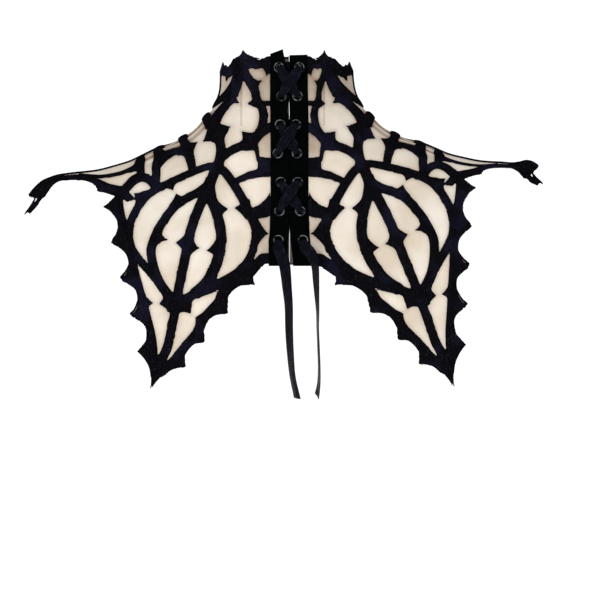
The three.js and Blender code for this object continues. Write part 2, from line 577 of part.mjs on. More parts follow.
// A mesh of the flat outlines, with every edge cut where it would stand off the bust by more than the sag
function flatMesh(loops, sag) {
  const [contour, ...holes] = loops;
  const points = [...contour, ...holes.flat()].map((p) => p.clone());
  const triangles = THREE.ShapeUtils.triangulateShape(contour, holes);
  const away = (a, b) => points[b].clone().sub(points[a]);
  const facesOut = (a, b, c) => away(a, b).cross(away(a, c)) > LEAST_AREA;
  const opposite = (t, a, b) => triangles[t].find((i) => i !== a && i !== b);
  const edgeOwners = () => {
    const owners = new Map();
    triangles.forEach((triangle, t) => triangle.forEach((a, k) => {
      const b = triangle[(k + 1) % 3];
      const edge = a < b ? `${a},${b}` : `${b},${a}`;
      owners.set(edge, [...(owners.get(edge) ?? []), t]);
    }));
    return owners;
  };
  const placed = (i) => onBust(points[i]);
  const angleAt = (c, a, b) => placed(a).sub(placed(c)).angleTo(placed(b).sub(placed(c)));
  const swapPoorEdges = () => {
    const touched = new Set();
    let swaps = 0;
    for (const [edge, pair] of edgeOwners()) {
      if (pair.length < 2 || pair.some((t) => touched.has(t))) continue;
      const [a, b] = edge.split(',').map(Number);
      const [c, d] = pair.map((t) => opposite(t, a, b));
      if (angleAt(c, a, b) + angleAt(d, a, b) <= Math.PI + 1e-3) continue;
      const [first, second] = facesOut(a, d, c) ? [[a, d, c], [d, b, c]] : [[a, c, d], [c, b, d]];
      if (!facesOut(...first) || !facesOut(...second)) continue;
      triangles[pair[0]] = first;
      triangles[pair[1]] = second;
      pair.forEach((t) => touched.add(t));
      swaps++;
    }
    return swaps;
  };
  const cutHighEdges = () => {
    const high = [];
    for (const [edge, pair] of edgeOwners()) {
      const [a, b] = edge.split(',').map(Number);
      const middle = points[a].clone().lerp(points[b], 0.5);
      const [start, end] = [placed(a), placed(b)];
      const length = start.distanceTo(end);
      if (onBust(middle).distanceTo(start.lerp(end, 0.5)) > sag) high.push({ a, b, pair, middle, length });
    }
    const touched = new Set();
    for (const { a, b, pair, middle } of high.sort((one, other) => other.length - one.length)) {
      if (pair.some((t) => touched.has(t))) continue;
      const m = points.push(middle) - 1;
      for (const t of pair) {
        const added = triangles.push(triangles[t].map((i) => (i === a ? m : i))) - 1;
        triangles[t] = triangles[t].map((i) => (i === b ? m : i));
        touched.add(t).add(added);
      }
    }
    return high.length;
  };
  const settle = () => {
    for (let i = 0; i < MOST_SWAPS && swapPoorEdges(); i++);
  };
  settle();
  while (cutHighEdges()) settle();
  return { points, triangles };
}

// Lays a flat mesh on the bust as a closed sheet of the given thickness, on the right half or the left
function drape({ points, triangles }, { inner, thickness }, side) {
  const lay = (height) => (p) => {
    const at = raised(p.x / FLAT_SCALE, p.y, height);
    return worn(new THREE.Vector3(at.x * side, at.y, at.z));
  };
  const count = points.length;
  const faces = [];
  const open = new Map();
  for (const [a, b, c] of triangles) {
    faces.push([a, b, c], [a + count, c + count, b + count]);
    for (const [from, to] of [[a, b], [b, c], [c, a]]) {
      if (!open.delete(`${to},${from}`)) open.set(`${from},${to}`, [from, to]);
    }
  }
  for (const [from, to] of open.values()) {
    faces.push([to, from, from + count], [to, from + count, to + count]);
  }
  const laid = [...points.map(lay(inner + thickness)), ...points.map(lay(inner))];
  return closedGeometry(laid, side > 0 ? faces.map((face) => face.reverse()) : faces);
}

function closedGeometry(points, faces) {
  const geometry = new THREE.BufferGeometry();
  geometry.setAttribute('position', new THREE.Float32BufferAttribute(points.flatMap((p) => p.toArray()), 3));
  geometry.setIndex(faces.flat());
  geometry.computeVertexNormals();
  return geometry;
}

function circle(x, z, radius, sides) {
  const points = [];
  for (let i = 0; i < sides; i++) {
    const turn = (i / sides) * 2 * Math.PI;
    points.push([x + radius * Math.cos(turn), z + radius * Math.sin(turn)]);
  }
  return points;
}

function eyeletZ(row) {
  return EYELET.firstZ - EYELET.pitch * row;
}

// Velvet strip with a hole at each eyelet
function placketOutlines(sideName) {
  const { near, topNear, topFar } = PLACKET_SIDES[sideName];
  const { bottom, steps } = PLACKET;
  const outline = [];
  for (let i = 0; i <= steps; i++) {
    const z = THREE.MathUtils.lerp(bottom, topFar, i / steps);
    outline.push([edgeAt(PLACKET_FAR, z), z]);
  }
  outline.push([edgeAt(near, topNear), topNear]);
  for (const { x, z } of [...near].reverse()) if (z < topNear) outline.push([x, z]);
  const toFlat = (points) => points.map((point) => {
    const [turn, v] = VIEWS.back(point);
    return new THREE.Vector2(turn * FLAT_SCALE, v);
  });
  const loops = [anticlockwise(toFlat(outline))];
  EYELET_ROWS.forEach((row, i) => {
    loops.push(toFlat(circle(row[sideName], eyeletZ(i), EYELET.bore + HOLE_ROOM, HOLE_SIDES)));
  });
  return loops;
}

// A point on the worn placket by its place in the back view and its height over the cloth
function onPlacket(x, z, height) {
  const [turn, v] = VIEWS.back([Math.abs(x), z]);
  const p = raised(turn, v, height);
  return worn(new THREE.Vector3(Math.sign(x) * p.x, p.y, p.z));
}

function eyelet(x, z) {
  const { bore, flange, thick, sides } = EYELET;
  const profile = [[bore, 0], [flange, 0], [flange - 0.6, 0.7 * thick], [bore + 0.5, thick], [bore, 0]];
  const geometry = new THREE.LatheGeometry(profile.map(([r, h]) => new THREE.Vector2(r, h)), sides);
  const seat = PLACKET.inner + PLACKET.thickness + SEAM_GAP;
  const foot = onPlacket(x, z, seat);
  const up = onPlacket(x, z, seat + 10).sub(foot).normalize();
  return { geometry, foot, up };
}

// A ribbon through a list of stations, each with its centre, the direction of its width and its size
function ribbonSolid(stations) {
  const points = [];
  const faces = [];
  stations.forEach(({ centre, across, width, thickness }, i) => {
    const before = stations[Math.max(i - 1, 0)].centre;
    const after = stations[Math.min(i + 1, stations.length - 1)].centre;
    const along = after.clone().sub(before).normalize();
    const flat = across.clone().addScaledVector(along, -across.dot(along)).normalize();
    const up = flat.clone().cross(along);
    for (const [side, face] of [[1, 1], [-1, 1], [-1, -1], [1, -1]]) {
      const corner = centre.clone().addScaledVector(flat, (side * width) / 2);
      points.push(corner.addScaledVector(up, (face * thickness) / 2));
    }
  });
  const last = (stations.length - 1) * 4;
  for (let i = 0; i < last; i += 4) {
    for (let k = 0; k < 4; k++) {
      const a = i + k;
      const b = i + ((k + 1) % 4);
      faces.push([a, b + 4, b], [a, a + 4, b + 4]);
    }
  }
  faces.push([0, 2, 3], [0, 1, 2], [last, last + 2, last + 1], [last, last + 3, last + 2]);
  return closedGeometry(points, faces);
}

// The ribbon comes out of an eyelet, crosses to the next row on the other side and goes in, then runs down
// behind its placket to the row below. Each row here is a station of the first half of such a run: the
// distance from the hole's centre along the run, the height over the cloth outside and inside, and how far
// the ribbon has opened from its gathered width.
const RUN = [
  { from: 0.3, outside: 3.4, inside: -1.5, open: 0 },
  { from: 2.2, outside: 4.9, inside: -2.4, open: 0.2 },
  { from: 7, outside: 4.6, inside: -2.3, open: 0.85 },
];
const MIDDLE = { outside: 4.2, inside: -1.9, open: 0.85 };
const OVER_LIFT = 1.6;
const OVER_LIFT_ZONE = [1, 6];
const HOLE_HEIGHT = 0.7;

function laceStation([x, z], height, across, open) {
  const { lerp } = THREE.MathUtils;
  const beside = (sign) => onPlacket(x + sign * across[0], z + sign * across[1], height);
  return {
    centre: onPlacket(x, z, height),
    across: beside(1).sub(beside(-1)),
    width: lerp(RIBBON.gathered, RIBBON.width, open),
    thickness: lerp(RIBBON.gatheredThickness, RIBBON.thickness, open),
  };
}

function hole(side, row) {
  return [side * EYELET_ROWS[row][side > 0 ? 'right' : 'left'], eyeletZ(row)];
}

function runStations(start, end, face, lift) {
  const length = gap(start, end);
  const along = [(end[0] - start[0]) / length, (end[1] - start[1]) / length];
  const side = Math.sign(start[0]);
  const across = [-along[1] * side, along[0] * side];
  const place = (distance, height, open) => laceStation(
    [start[0] + along[0] * distance, start[1] + along[1] * distance], height, across, open);
  const raise = (distance) => lift * THREE.MathUtils.smoothstep(distance, ...OVER_LIFT_ZONE);
  const near = RUN.map((s) => place(s.from, s[face] + raise(s.from), s.open));
  const far = RUN.map((s) => place(length - s.from, s[face] + raise(s.from), s.open));
  return [...near, place(length / 2, MIDDLE[face] + lift, MIDDLE.open), ...far.reverse()];
}

// Both ribbons start behind the top row and come out of the bottom row. The left one first passes behind both
// plackets. A row here is a place along the top row and how open the ribbon is.
const START_HEIGHT = -2.2;
const LACE_STARTS = {
  left: [{ x: 5.1, open: 0.4 }, { x: 1.5, open: 1 }, { x: -3, open: 1 }, { x: -5.2, open: 0.5 },
    { x: -6.6, open: 0.1 }],
  right: [{ x: 5.4, open: 0.4 }, { x: 6.7, open: 0.1 }],
};
const LACE_ENDS = [
  { drop: 0.1, height: 3.4, open: 0 },
  { drop: 2.3, height: 4.9, open: 0.4 },
  { drop: 4.4, height: 4.6, open: 0.95 },
];

function lace(sideName, side) {
  const upright = [0, 1];
  const level = [1, 0];
  const stations = LACE_STARTS[sideName].map(({ x, open }) => (
    laceStation([x, EYELET.firstZ], START_HEIGHT, upright, open)));
  const last = EYELET_ROWS.length - 1;
  let at = side;
  for (let row = 0; row < last; row++) {
    const face = row % 2 ? 'inside' : 'outside';
    const next = face === 'outside' ? -at : at;
    const lift = face === 'outside' && at > 0 ? OVER_LIFT : 0;
    const start = hole(at, row);
    stations.push(laceStation(start, HOLE_HEIGHT, level, 0));
    stations.push(...runStations(start, hole(next, row + 1), face, lift));
    at = next;
  }
  const [x, z] = hole(at, last);
  stations.push(laceStation([x, z], HOLE_HEIGHT, level, 0));
  for (const { drop, height, open } of LACE_ENDS) {
    stations.push(laceStation([x, z - drop], height, level, open));
  }
  return ribbonSolid(stations);
}

// The free ends hang from the bottom row. Each row is a place of the worn ribbon, how far it stands behind
// the neck's axis and how far its width is turned from facing the back, in degrees.
const TAILS = {
  ribbon_tail_left: [
    { x: -8.7, z: -75.7, behind: 91.5, turned: 0 },
    { x: -7.2, z: -80.5, behind: 93.2, turned: 8 },
    { x: -4.1, z: -88.9, behind: 95, turned: 22 },
    { x: -3, z: -97, behind: 96.4, turned: 30 },
    { x: -2.1, z: -106.5, behind: 97.2, turned: 37 },
    { x: -0.5, z: -122.5, behind: 98, turned: 48 },
    { x: -0.1, z: -138.5, behind: 98.4, turned: 52 },
    { x: 0.7, z: -156.8, behind: 98.8, turned: 56 },
    { x: 2.3, z: -176.9, behind: 99.2, turned: 60 },
    { x: 5.9, z: -193.7, behind: 99.6, turned: 57 },
  ],
  ribbon_tail_right: [
    { x: 11.1, z: -75.8, behind: 93, turned: 0 },
    { x: 15.3, z: -79.3, behind: 93.9, turned: 14 },
    { x: 18.6, z: -84.9, behind: 95.4, turned: 34 },
    { x: 20.1, z: -91, behind: 96.6, turned: 52 },
    { x: 20.9, z: -102.5, behind: 97.6, turned: 60 },
    { x: 21.6, z: -114.5, behind: 98.2, turned: 69 },
    { x: 22.1, z: -126.5, behind: 98.6, turned: 76 },
    { x: 21.9, z: -138.5, behind: 98.8, turned: 78 },
    { x: 22.4, z: -154.4, behind: 99.2, turned: 78 },
    { x: 23, z: -170.5, behind: 99.6, turned: 77 },
    { x: 22.8, z: -182.5, behind: 100, turned: 74 },
    { x: 21.4, z: -192, behind: 100.2, turned: 66 },
  ],
};

function tail(route) {
  const stations = route.map(({ x, z, behind, turned }) => {
    const turn = THREE.MathUtils.degToRad(turned);
    return {
      centre: new THREE.Vector3(x, -behind, z),
      across: new THREE.Vector3(Math.cos(turn), -Math.sin(turn), 0),
      width: RIBBON.width,
      thickness: RIBBON.thickness,
    };
  });
  return ribbonSolid(stations);
}

// Materials
const FINISH = {
  net: { color: '#e2d5c3', roughness: 0.85, metalness: 0, side: THREE.DoubleSide },
  satinStitch: { color: '#14141d', roughness: 0.5, metalness: 0 },
  velvet: { color: '#090b0b', roughness: 0.95, metalness: 0 },
  eyelet: { color: '#101112', roughness: 0.35, metalness: 0.8 },
  ribbon: { color: '#17171c', roughness: 0.35, metalness: 0 },
};

const collar = new THREE.Group();

function addPart(name, geometry, finish) {
  const mesh = new THREE.Mesh(geometry, new THREE.MeshStandardMaterial(FINISH[finish]));
  mesh.name = name;
  collar.add(mesh);
  return mesh;
}

const [netEdge] = outlines(ground());
const netMesh = flatMesh([thinned(netEdge, TOLERANCE)], NET.sag);
const satinLoops = outlines(tracery()).filter((loop) => Math.abs(THREE.ShapeUtils.area(loop)) > SMALLEST_GAP);
const satinMesh = flatMesh(satinLoops.map((loop) => thinned(loop, TOLERANCE)), SATIN.sag);
for (const [sideName, side] of [['left', -1], ['right', 1]]) {
  const velvetMesh = flatMesh(placketOutlines(sideName), PLACKET.sag);
  addPart(`mesh_${sideName}`, drape(netMesh, NET, side), 'net');
  addPart(`embroidery_${sideName}`, drape(satinMesh, SATIN, side), 'satinStitch');
  addPart(`placket_${sideName}`, drape(velvetMesh, PLACKET, side), 'velvet');
  EYELET_ROWS.forEach((_, row) => {
    const { geometry, foot, up } = eyelet(...hole(side, row));
    const ringMesh = addPart(`eyelet_${sideName}_${row + 1}`, geometry, 'eyelet');
    ringMesh.position.copy(foot);
    ringMesh.quaternion.setFromUnitVectors(new THREE.Vector3(0, 1, 0), up);
  });
  addPart(`lace_${sideName}`, lace(sideName, side), 'ribbon');
}
for (const [name, route] of Object.entries(TAILS)) addPart(name, tail(route), 'ribbon');

export default collar;
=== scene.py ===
import math

import bpy
import numpy as np
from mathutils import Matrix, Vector
from numpy.linalg import norm


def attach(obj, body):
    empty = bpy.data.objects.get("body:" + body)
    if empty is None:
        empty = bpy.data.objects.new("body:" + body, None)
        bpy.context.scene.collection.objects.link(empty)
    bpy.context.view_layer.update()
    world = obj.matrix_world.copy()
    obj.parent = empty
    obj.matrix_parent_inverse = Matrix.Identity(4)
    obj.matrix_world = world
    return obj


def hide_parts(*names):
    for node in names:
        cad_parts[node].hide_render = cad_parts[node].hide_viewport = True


# Embroidered bib collar: black satin stitch tracery on nude net, velvet plackets, eyelets and laced ribbon.
# Lengths in the tables are millimetres in the frame's axes; meshes are made in metres.
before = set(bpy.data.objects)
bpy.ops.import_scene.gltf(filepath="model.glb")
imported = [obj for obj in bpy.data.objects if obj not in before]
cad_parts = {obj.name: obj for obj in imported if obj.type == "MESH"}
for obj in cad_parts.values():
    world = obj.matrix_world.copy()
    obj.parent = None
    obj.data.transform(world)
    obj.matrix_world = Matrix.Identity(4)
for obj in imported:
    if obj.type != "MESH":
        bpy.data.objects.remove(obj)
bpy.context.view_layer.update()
MM = 0.001
QUARTER = math.pi / 2
rng = np.random.default_rng(11)


def place(name, data):
    obj = bpy.data.objects.new(name, data)
    bpy.context.scene.collection.objects.link(obj)
    return obj


# Camera: level, looking along +Y at the laced centre back
PX = 0.78
PHOTO_WIDTH, PHOTO_CENTRE = 600, (300, 300)
ORIGIN_PX = (289.5, 150)
CAMERA_DISTANCE = 14.0
SENSOR = 36.0
VIEW_DEPTH = -0.075
camera_data = bpy.data.cameras.new("camera")
camera_data.sensor_width = SENSOR
camera_data.lens = SENSOR * CAMERA_DISTANCE / (PHOTO_WIDTH * PX * MM)
camera_data.clip_end = 60
camera = place("camera", camera_data)
camera.location = ((PHOTO_CENTRE[0] - ORIGIN_PX[0]) * PX * MM, VIEW_DEPTH - CAMERA_DISTANCE,
                   (ORIGIN_PX[1] - PHOTO_CENTRE[1]) * PX * MM)
camera.rotation_euler = (QUARTER, 0, 0)
bpy.context.scene.camera = camera
bpy.context.scene.view_settings.view_transform = "Standard"

# The surface that the cloth lies on: half_width, side_z, half_depth, back_z of rings down from the neck's top
RINGS = np.array([
    (49.5, 84, 51, 84), (50.5, 64, 52, 62), (52, 47, 54, 42), (56, 37, 57, 26), (62, 28.5, 60.5, 12),
    (71, 20, 64, -2), (84, 10.5, 69, -20), (102, 2.8, 75.5, -41), (124, -5.5, 83, -66), (148, -12.3, 91, -95),
    (172, -14.8, 98.5, -128), (190, -18, 104, -160), (200, -28, 108, -192), (205, -46, 111, -224),
    (209, -80, 113, -262)], float)
STATION = np.concatenate(([0], np.cumsum(np.hypot(np.diff(RINGS[:, 0]), np.diff(RINGS[:, 1])))))
END = STATION[-1]
_before = np.maximum(np.arange(len(RINGS)) - 1, 0)
_after = np.minimum(np.arange(len(RINGS)) + 1, len(RINGS) - 1)
SLOPE = (RINGS[_after] - RINGS[_before]) / (STATION[_after] - STATION[_before])[:, None]

# How the collar is worn: the neck leans and twists, the wings hang a little to one side, one shoulder is
# carried lower, and the laced edges stand apart at the bottom
NECK_LEAN = -0.038
NECK_TWIST = -2.7
WING_SHIFT = 10
SHOULDER_SHIFT = -4.7
SHOULDER_TILT = 12
HALF_SPAN = 204
TOP_SHIFT = -0.4
LEFT_SPREAD, RIGHT_SPREAD = -1.0, 2.8
RIDGE_TILT = 0.45
TILT_FOOT, TILT_RISE, TILT_POWER, REACH_POWER = -190, 150, 0.6, 1.4

# Where each effect fades in, from and to: |x| or out, |y|, z or -z, or v, as each use says
ZONES = {
    "wing": (30, 175), "twist_in": (12, 30), "twist_out": (30, 52), "twist_up": (5, 55),
    "shoulder": (150, 200), "right_spread": (60, 92), "left_spread": (62, 72), "top": (10, 50),
    "far": (12, 40), "behind": (10, 45), "tip": (175, HALF_SPAN), "reach": (30, 100),
    "gather_off": (8, 36), "gather_from": (50, 60), "gather_to": (112, 140), "swell_off": (2, 26),
    "turn_from": (184, 198), "turn_to": (212, 226), "turn_edge": (0, 19), "calm": (-187, -174),
    "neck_root": (-10, 20), "neck": (30, 50), "low_cells": (48, 52), "low_out": (20, 30),
    "placket_out": (17, 30), "yoke": (-10, 0), "yoke_top": (16, 24), "rows": (-3, -0.2),
    "through": (-0.8, 0.8), "tail_opens": (0.01, 0.07), "tail_curls": (0.02, 0.2), "lift": (3, 8),
}

# Ribs: view, start width, end width, path. back is (x, z), shoulder (along, behind), side (behind, z)
RIBS = {
    "hem_lower": ("back", 8, 7, [(-2, -84.5), (15, -84.5), (22, -85.5), (27, -89), (34, -95), (47, -102.5),
        (56, -109), (62, -118.5), (69, -125), (77, -131.5), (80.5, -139), (87, -146.5), (94, -154),
        (101, -163), (109, -171), (115.4, -175)]),
    "hem_outer": ("back", 5, 6.5, [(115.4, -175), (115.3, -166), (115.5, -152), (117, -139), (119, -126),
        (121, -113), (123, -101), (124.2, -90), (125.6, -79), (127.2, -67), (129.6, -55), (131.9, -44),
        (133.2, -35), (133.6, -27)]),
    "hem_shoulder": ("shoulder", 6.5, 5, [(152, 47), (151.5, 38), (158, 31), (163, 24), (171, 15),
        (181, 12.5), (191, 12.5), (200, 15), (208, 16.5), (217, 12.5)]),
    "hem_front": ("shoulder", 6.5, 6, [(152, 47), (151.5, 38), (158, 31), (163, 24), (171, 15), (181, 11),
        (191, 8), (200, 2)]),
    "hem_top": ("back", 6.5, 6.5, [(-2, 71.5), (15, 70.2), (22, 67.1), (27, 67.2), (33, 70.5)]),
    "hem_neck": ("side", 6.5, 6.5, [(40, 70.5), (33, 66), (22, 61.5), (10, 62.5), (-1, 61)]),
    "ring_inner": ("back", 7, 7.5, [(57, -13), (51.5, -16), (44.3, -25.5), (36.3, -39), (30.8, -51.5),
        (27, -64), (29.5, -77), (35.3, -87.2), (45, -96.2), (56.7, -102.5), (68, -107.5), (80, -111),
        (94, -118)]),
    "arch_inner": ("back", 7.5, 9, [(57, -13), (61.5, -25), (61, -35), (58, -47), (55.2, -58), (55, -69),
        (58, -82), (63, -93), (70, -103), (80, -111)]),
    "midrib": ("back", 8, 7, [(57, -13), (62, -25), (68.1, -38), (74.6, -52), (79.8, -66), (83.7, -80),
        (88, -94), (92.3, -108), (97, -122), (101, -136), (105, -150), (110.5, -164), (114.8, -172.5)]),
    "arch_outer": ("back", 6.5, 7.5, [(57, -13), (62.5, -24.5), (70.5, -31), (80.9, -35.6), (89.9, -41.1),
        (98.9, -51.6), (105.4, -62.1), (109.9, -73.5), (109.5, -86), (106.5, -98), (102, -108), (95, -119)]),
    "ring_outer": ("back", 5.5, 7, [(51, -11), (66, -12.6), (84, -18.2), (97, -23.2), (110.5, -30.3),
        (121, -43.5), (126, -57), (125, -71), (118.5, -83), (111, -93), (105, -102), (97, -114)]),
    "lower_hub": ("back", 10, 10, [(88, -115.5), (96, -119), (102, -117.5)]),
    "yoke": ("back", 7, 6.5, [(3, 22.5), (15, 17.8), (20, 14.6), (27, 9.3), (34.5, 4.2), (43, 0.8),
        (51, -4.2), (57, -12)]),
    "yoke_drop": ("back", 5, 1.5, [(27, 6), (25.6, 0), (25.1, -4.5), (24.6, -9)]),
    "yoke_web": ("back", 4.5, 4.5, [(25, 2), (30, 1.8), (37, 1.5)]),
    "yoke_block": ("back", 10.5, 9, [(3, -11), (14, -11), (24.3, -10.2)]),
    "yoke_low": ("back", 9, 4.5, [(3, -16.5), (15, -17), (24, -18.3), (33, -20.7), (43, -25)]),
    "ring_tie": ("back", 17, 8, [(3, -43.5), (15, -45), (22, -48), (30, -50.5)]),
    "neck_tie": ("back", 4, 4, [(3, 37), (15, 36.5), (22, 36.5)]),
    "neck_rise": ("back", 5, 6.8, [(31.6, 68), (30.2, 60), (27.2, 53.5), (24.7, 46), (23.9, 40.5),
        (20.5, 33), (19.7, 25), (21.8, 16), (27, 7)]),
    "neck_arch": ("back", 5, 7.5, [(32.3, 66), (35, 54), (39, 45), (43.5, 39.3), (48, 35.2), (53, 29.5),
        (57, 22)]),
    "neck_cross": ("side", 7.5, 8.5, [(38, 64.2), (32.5, 52), (24, 44.5), (13, 39.5), (-1, 37)]),
    "neck_side": ("side", 5, 5, [(0, 63), (0, 39)]),
    "neck_root": ("back", 6.5, 9, [(57, -13), (54, -4), (53.3, 3), (55, 11), (58, 19), (62, 25.5)]),
    "root_over": ("shoulder", 8, 9, [(66, 27), (62, 13), (60.5, -1)]),
    "dome_side": ("back", 5.5, 9, [(75.5, -15), (76.4, -9), (78, -3), (80, 4)]),
    "dome_over": ("shoulder", 6, 9, [(92, 31), (87, 15), (85, -1)]),
    "dome_top": ("back", 5, 5, [(79, 3.8), (86, 1.8), (93, 0.3), (102, -2.5)]),
    "cap_back": ("back", 6, 7, [(104.5, -24), (104, -15), (103.8, -8), (101, -3)]),
    "cap_over": ("shoulder", 6, 10, [(113, 26), (108, 11), (105, -1)]),
    "tip_over": ("shoulder", 5, 5.5, [(132.5, 33), (127.5, 25), (124, 18), (122, 8), (121, -1)]),
    "cap_arch": ("back", 6, 7, [(104.5, -24.3), (109.6, -18.8), (115.5, -16.4), (121.3, -18.6),
        (126, -22.5), (131, -27.5)]),
    "ridge": ("shoulder", 3.4, 7.4, [(88, 0), (120, 0), (150, 0), (203, 0)]),
    "tip_fill": ("shoulder", 3, 12, [(182, 4.5), (191, 6), (207, 9)]),
    "tip_branch": ("shoulder", 4.5, 4, [(125.5, 20), (140, 22.5), (149, 21.5), (160, 18.5), (172, 11)]),
}
ONE_SIDED = {"hem_shoulder": "back", "hem_front": "front"}

# Thorns: place of the root and of the tip, width at the root, and the view where it is not the back
THORNS = [
    (30.5, 8, 36.8, 15, 17), (53.5, 15.4, 44.5, 18.7, 16), (24.4, 37, 31, 36, 9), (41.4, 40.3, 35.6, 36, 8),
    (15.5, 65, 17.3, 57.5, 11), (27, 51.5, 19.6, 54.6, 11), (59, 12.5, 67.5, 7.5, 15),
    (79.5, 2.5, 71.5, 7.8, 14), (34, -46.3, 44, -45.3, 16), (56.3, -46.3, 47.5, -45.8, 16),
    (58.2, -77, 67.6, -77.6, 16), (80.3, -73.4, 71.8, -75.6, 16), (83.2, -70.4, 91.3, -69.2, 15),
    (105.8, -64.4, 96.7, -66.5, 15), (86.5, -37.5, 88.6, -30.4, 16), (93.2, -22.8, 90.6, -28.4, 12),
    (102.5, -115.4, 109.6, -116, 15), (121, -114.6, 113.2, -115, 16), (88.5, -118.8, 84.6, -125.8, 16),
    (77, -132, 82, -127.3, 16), (26, -65, 16.2, -65.6, 24), (115.5, -32.5, 121.8, -28, 15),
    (79, 1, 87, -1.5, 12), (100, -3, 91.5, -2.5, 12), (117.5, -9, 126, -13.5, 10),
    (25, 62, 21, 53.5, 15, "side"), (17.2, -43, 15.3, -33, 9),
]

# Thorned outer edge: view, hem that it is filled back to, shares of that hem, side, tips as (x, z, bow)
EDGES = [
    ("back", "hem_lower", 0.1, 1, 1, [(20.5, -88.6, 0.33), (31.2, -105.7, 0.31), (56, -127.7, 0.33),
        (75, -148.6, 0.33), (91, -167.6, 0.14), (118.6, -186.4, 0)]),
    ("back", "hem_outer", 0, 0.96, 1, [(118.6, -186.4, 0.14), (128, -154.5, 0.33), (131.8, -125, 0.33),
        (136.8, -95.6, 0.34), (141.3, -66, 0.3), (145.8, -37, 0.05), (136.2, -29.5, 0)]),
    ("shoulder", "hem_shoulder", 0.04, 0.97, -1, [(157.5, 42, 0.08), (167, 33.5, 0.22),
        (172.5, 20.5, 0.05), (192, 16.5, 0.03), (201, 20.5, 0.03), (218, 15.5, 0.05),
        (221.5, 7, 0.1), (200, 9.5, 0)]),
    ("shoulder", "hem_front", 0.04, 1, -1, [(157.5, 42, 0.08), (166, 32, 0.22), (173, 19, 0.12),
        (186, 13, 0.1), (201, 17, 0.15), (207, 1, 0)]),
    ("side", "hem_neck", 0, 1, 1, [(48.5, 71, 0.14), (38.6, 82.5, 0.3), (32, 71.8, 0.28),
        (12.5, 69.8, 0.1), (-1, 64.6, 0)]),
]

# Cloth layers over the surface, and the plackets with their eyelets and ribbon
NET_INNER, NET_OUTER = -0.35, 0.35
STITCH_FOOT, STITCH_EDGE, STITCH_CROWN = 0.45, 0.8, 1.15
STITCH_TEETH, TOOTH_PITCH = 0.42, 1.8
PLACKET_INNER, PLACKET_OUTER = -0.6, 2.2
PLACKET_BOTTOM, BAND_BOTTOM, BAND_TOP, FRONT_BAND = -90.5, -89.5, 74, 12
PLACKET_FAR = [(-90.5, 15.4), (-60, 15.4), (-40, 14.7), (35, 14.7), (80, 14.3)]
PLACKET_NEAR = {
    -1: [(-90.5, 0.001), (24, 0.001), (28, 0.9), (31, 1.25), (34, 0.9), (38, 0.001), (46, 0.001), (52, 1.2),
        (67, 2.6), (78.5, 4.7)],
    1: [(-90.5, 0.001), (24, 0.001), (31, 0.35), (38, 0.001), (46, 0.001), (52, 0.3), (80, 0.4)],
}
PLACKET_TOPS = {-1: (79, 75.4), 1: (74.3, 74.7)}
SEAM_GAP = 0.3
EYELET_X = {-1: (7.5, 5.6, 7.0, 8.9, 6.8, 7.8, 7.7), 1: (7.65, 6.2, 4.9, 5.6, 6.3, 8.3, 9.8)}
EYELET_TOP, EYELET_PITCH, EYELET_ROWS = 64.6, 22.6, 7
EYELET_BORE = 2.5
RIBBON_WIDTH, RIBBON_THICK = 9.5, 0.7
GATHERED_WIDTH, GATHERED_THICK = 4.4, 2.8


def smoothstep(x, low, high):
    s = np.clip((x - low) / (high - low), 0, 1)
    return s * s * (3 - 2 * s)


def zone(name, x):
    return smoothstep(x, *ZONES[name])


def between(a, b, share):
    return a + (b - a) * share


def unit(vectors):
    return vectors / norm(vectors, axis=-1, keepdims=True)


def arc_lengths(line):
    return np.concatenate(([0], np.cumsum(norm(np.diff(line, axis=0), axis=1))))


def bell(x, middle, width):
    return np.exp(-((x - middle) / width) ** 2)


def curve(a, b, slope_a, slope_b, s):
    """Place at the share s of the smooth curve from a to b."""
    start = a * (1 + 2 * s) * (1 - s) ** 2 + slope_a * s * (1 - s) ** 2
    return start + b * s * s * (3 - 2 * s) + slope_b * s * s * (s - 1)


def ring(v):
    at = np.clip(v, 0, END - TINY)
    i = np.searchsorted(STATION, at, side="right") - 1
    span = (STATION[i + 1] - STATION[i])[..., None]
    s = (at - STATION[i])[..., None] / span
    return curve(RINGS[i], RINGS[i + 1], SLOPE[i] * span, SLOPE[i + 1] * span, s)


def surface(turn, v):
    half_width, side_z, half_depth, back_z = np.moveaxis(ring(v), -1, 0)
    s = np.sin(turn)
    return np.stack([half_width * s, -half_depth * np.cos(turn), back_z + (side_z - back_z) * s * s], -1)


TURN_STEP, V_STEP, TINY = 0.01, 1, 1e-6


def raised(turn, v, height):
    across = surface(turn + TURN_STEP, v) - surface(turn - TURN_STEP, v)
    down = surface(turn, v + V_STEP) - surface(turn, v - V_STEP)
    return surface(turn, v) + unit(np.cross(down, across)) * np.asarray(height)[..., None]


def worn(p):
    x, y, z = np.moveaxis(p, -1, 0)
    out = np.abs(x)
    lean = np.where(z > 0, NECK_LEAN * z, WING_SHIFT * zone("wing", -z))
    twist = NECK_TWIST * zone("twist_in", out) * (1 - zone("twist_out", out)) * zone("twist_up", z)
    side_shift = lean + twist + SHOULDER_SHIFT * zone("shoulder", out)
    spread = np.where(x > 0, RIGHT_SPREAD * zone("right_spread", -z), LEFT_SPREAD * zone("left_spread", -z))
    near_shift = TOP_SHIFT * zone("top", z) + np.where(y < 0, spread, 0)
    off_ridge = between(RIDGE_TILT, 1, np.maximum(zone("behind", np.abs(y)), zone("tip", out)))
    reach = np.sign(x) * (out / HALF_SPAN) ** REACH_POWER * zone("reach", out)
    tilt = SHOULDER_TILT * reach * off_ridge * np.clip((z - TILT_FOOT) / TILT_RISE, 0, 1) ** TILT_POWER
    return np.stack([x + between(near_shift, side_shift, zone("far", out)), y, z + tilt], -1)


BISECTIONS = 40


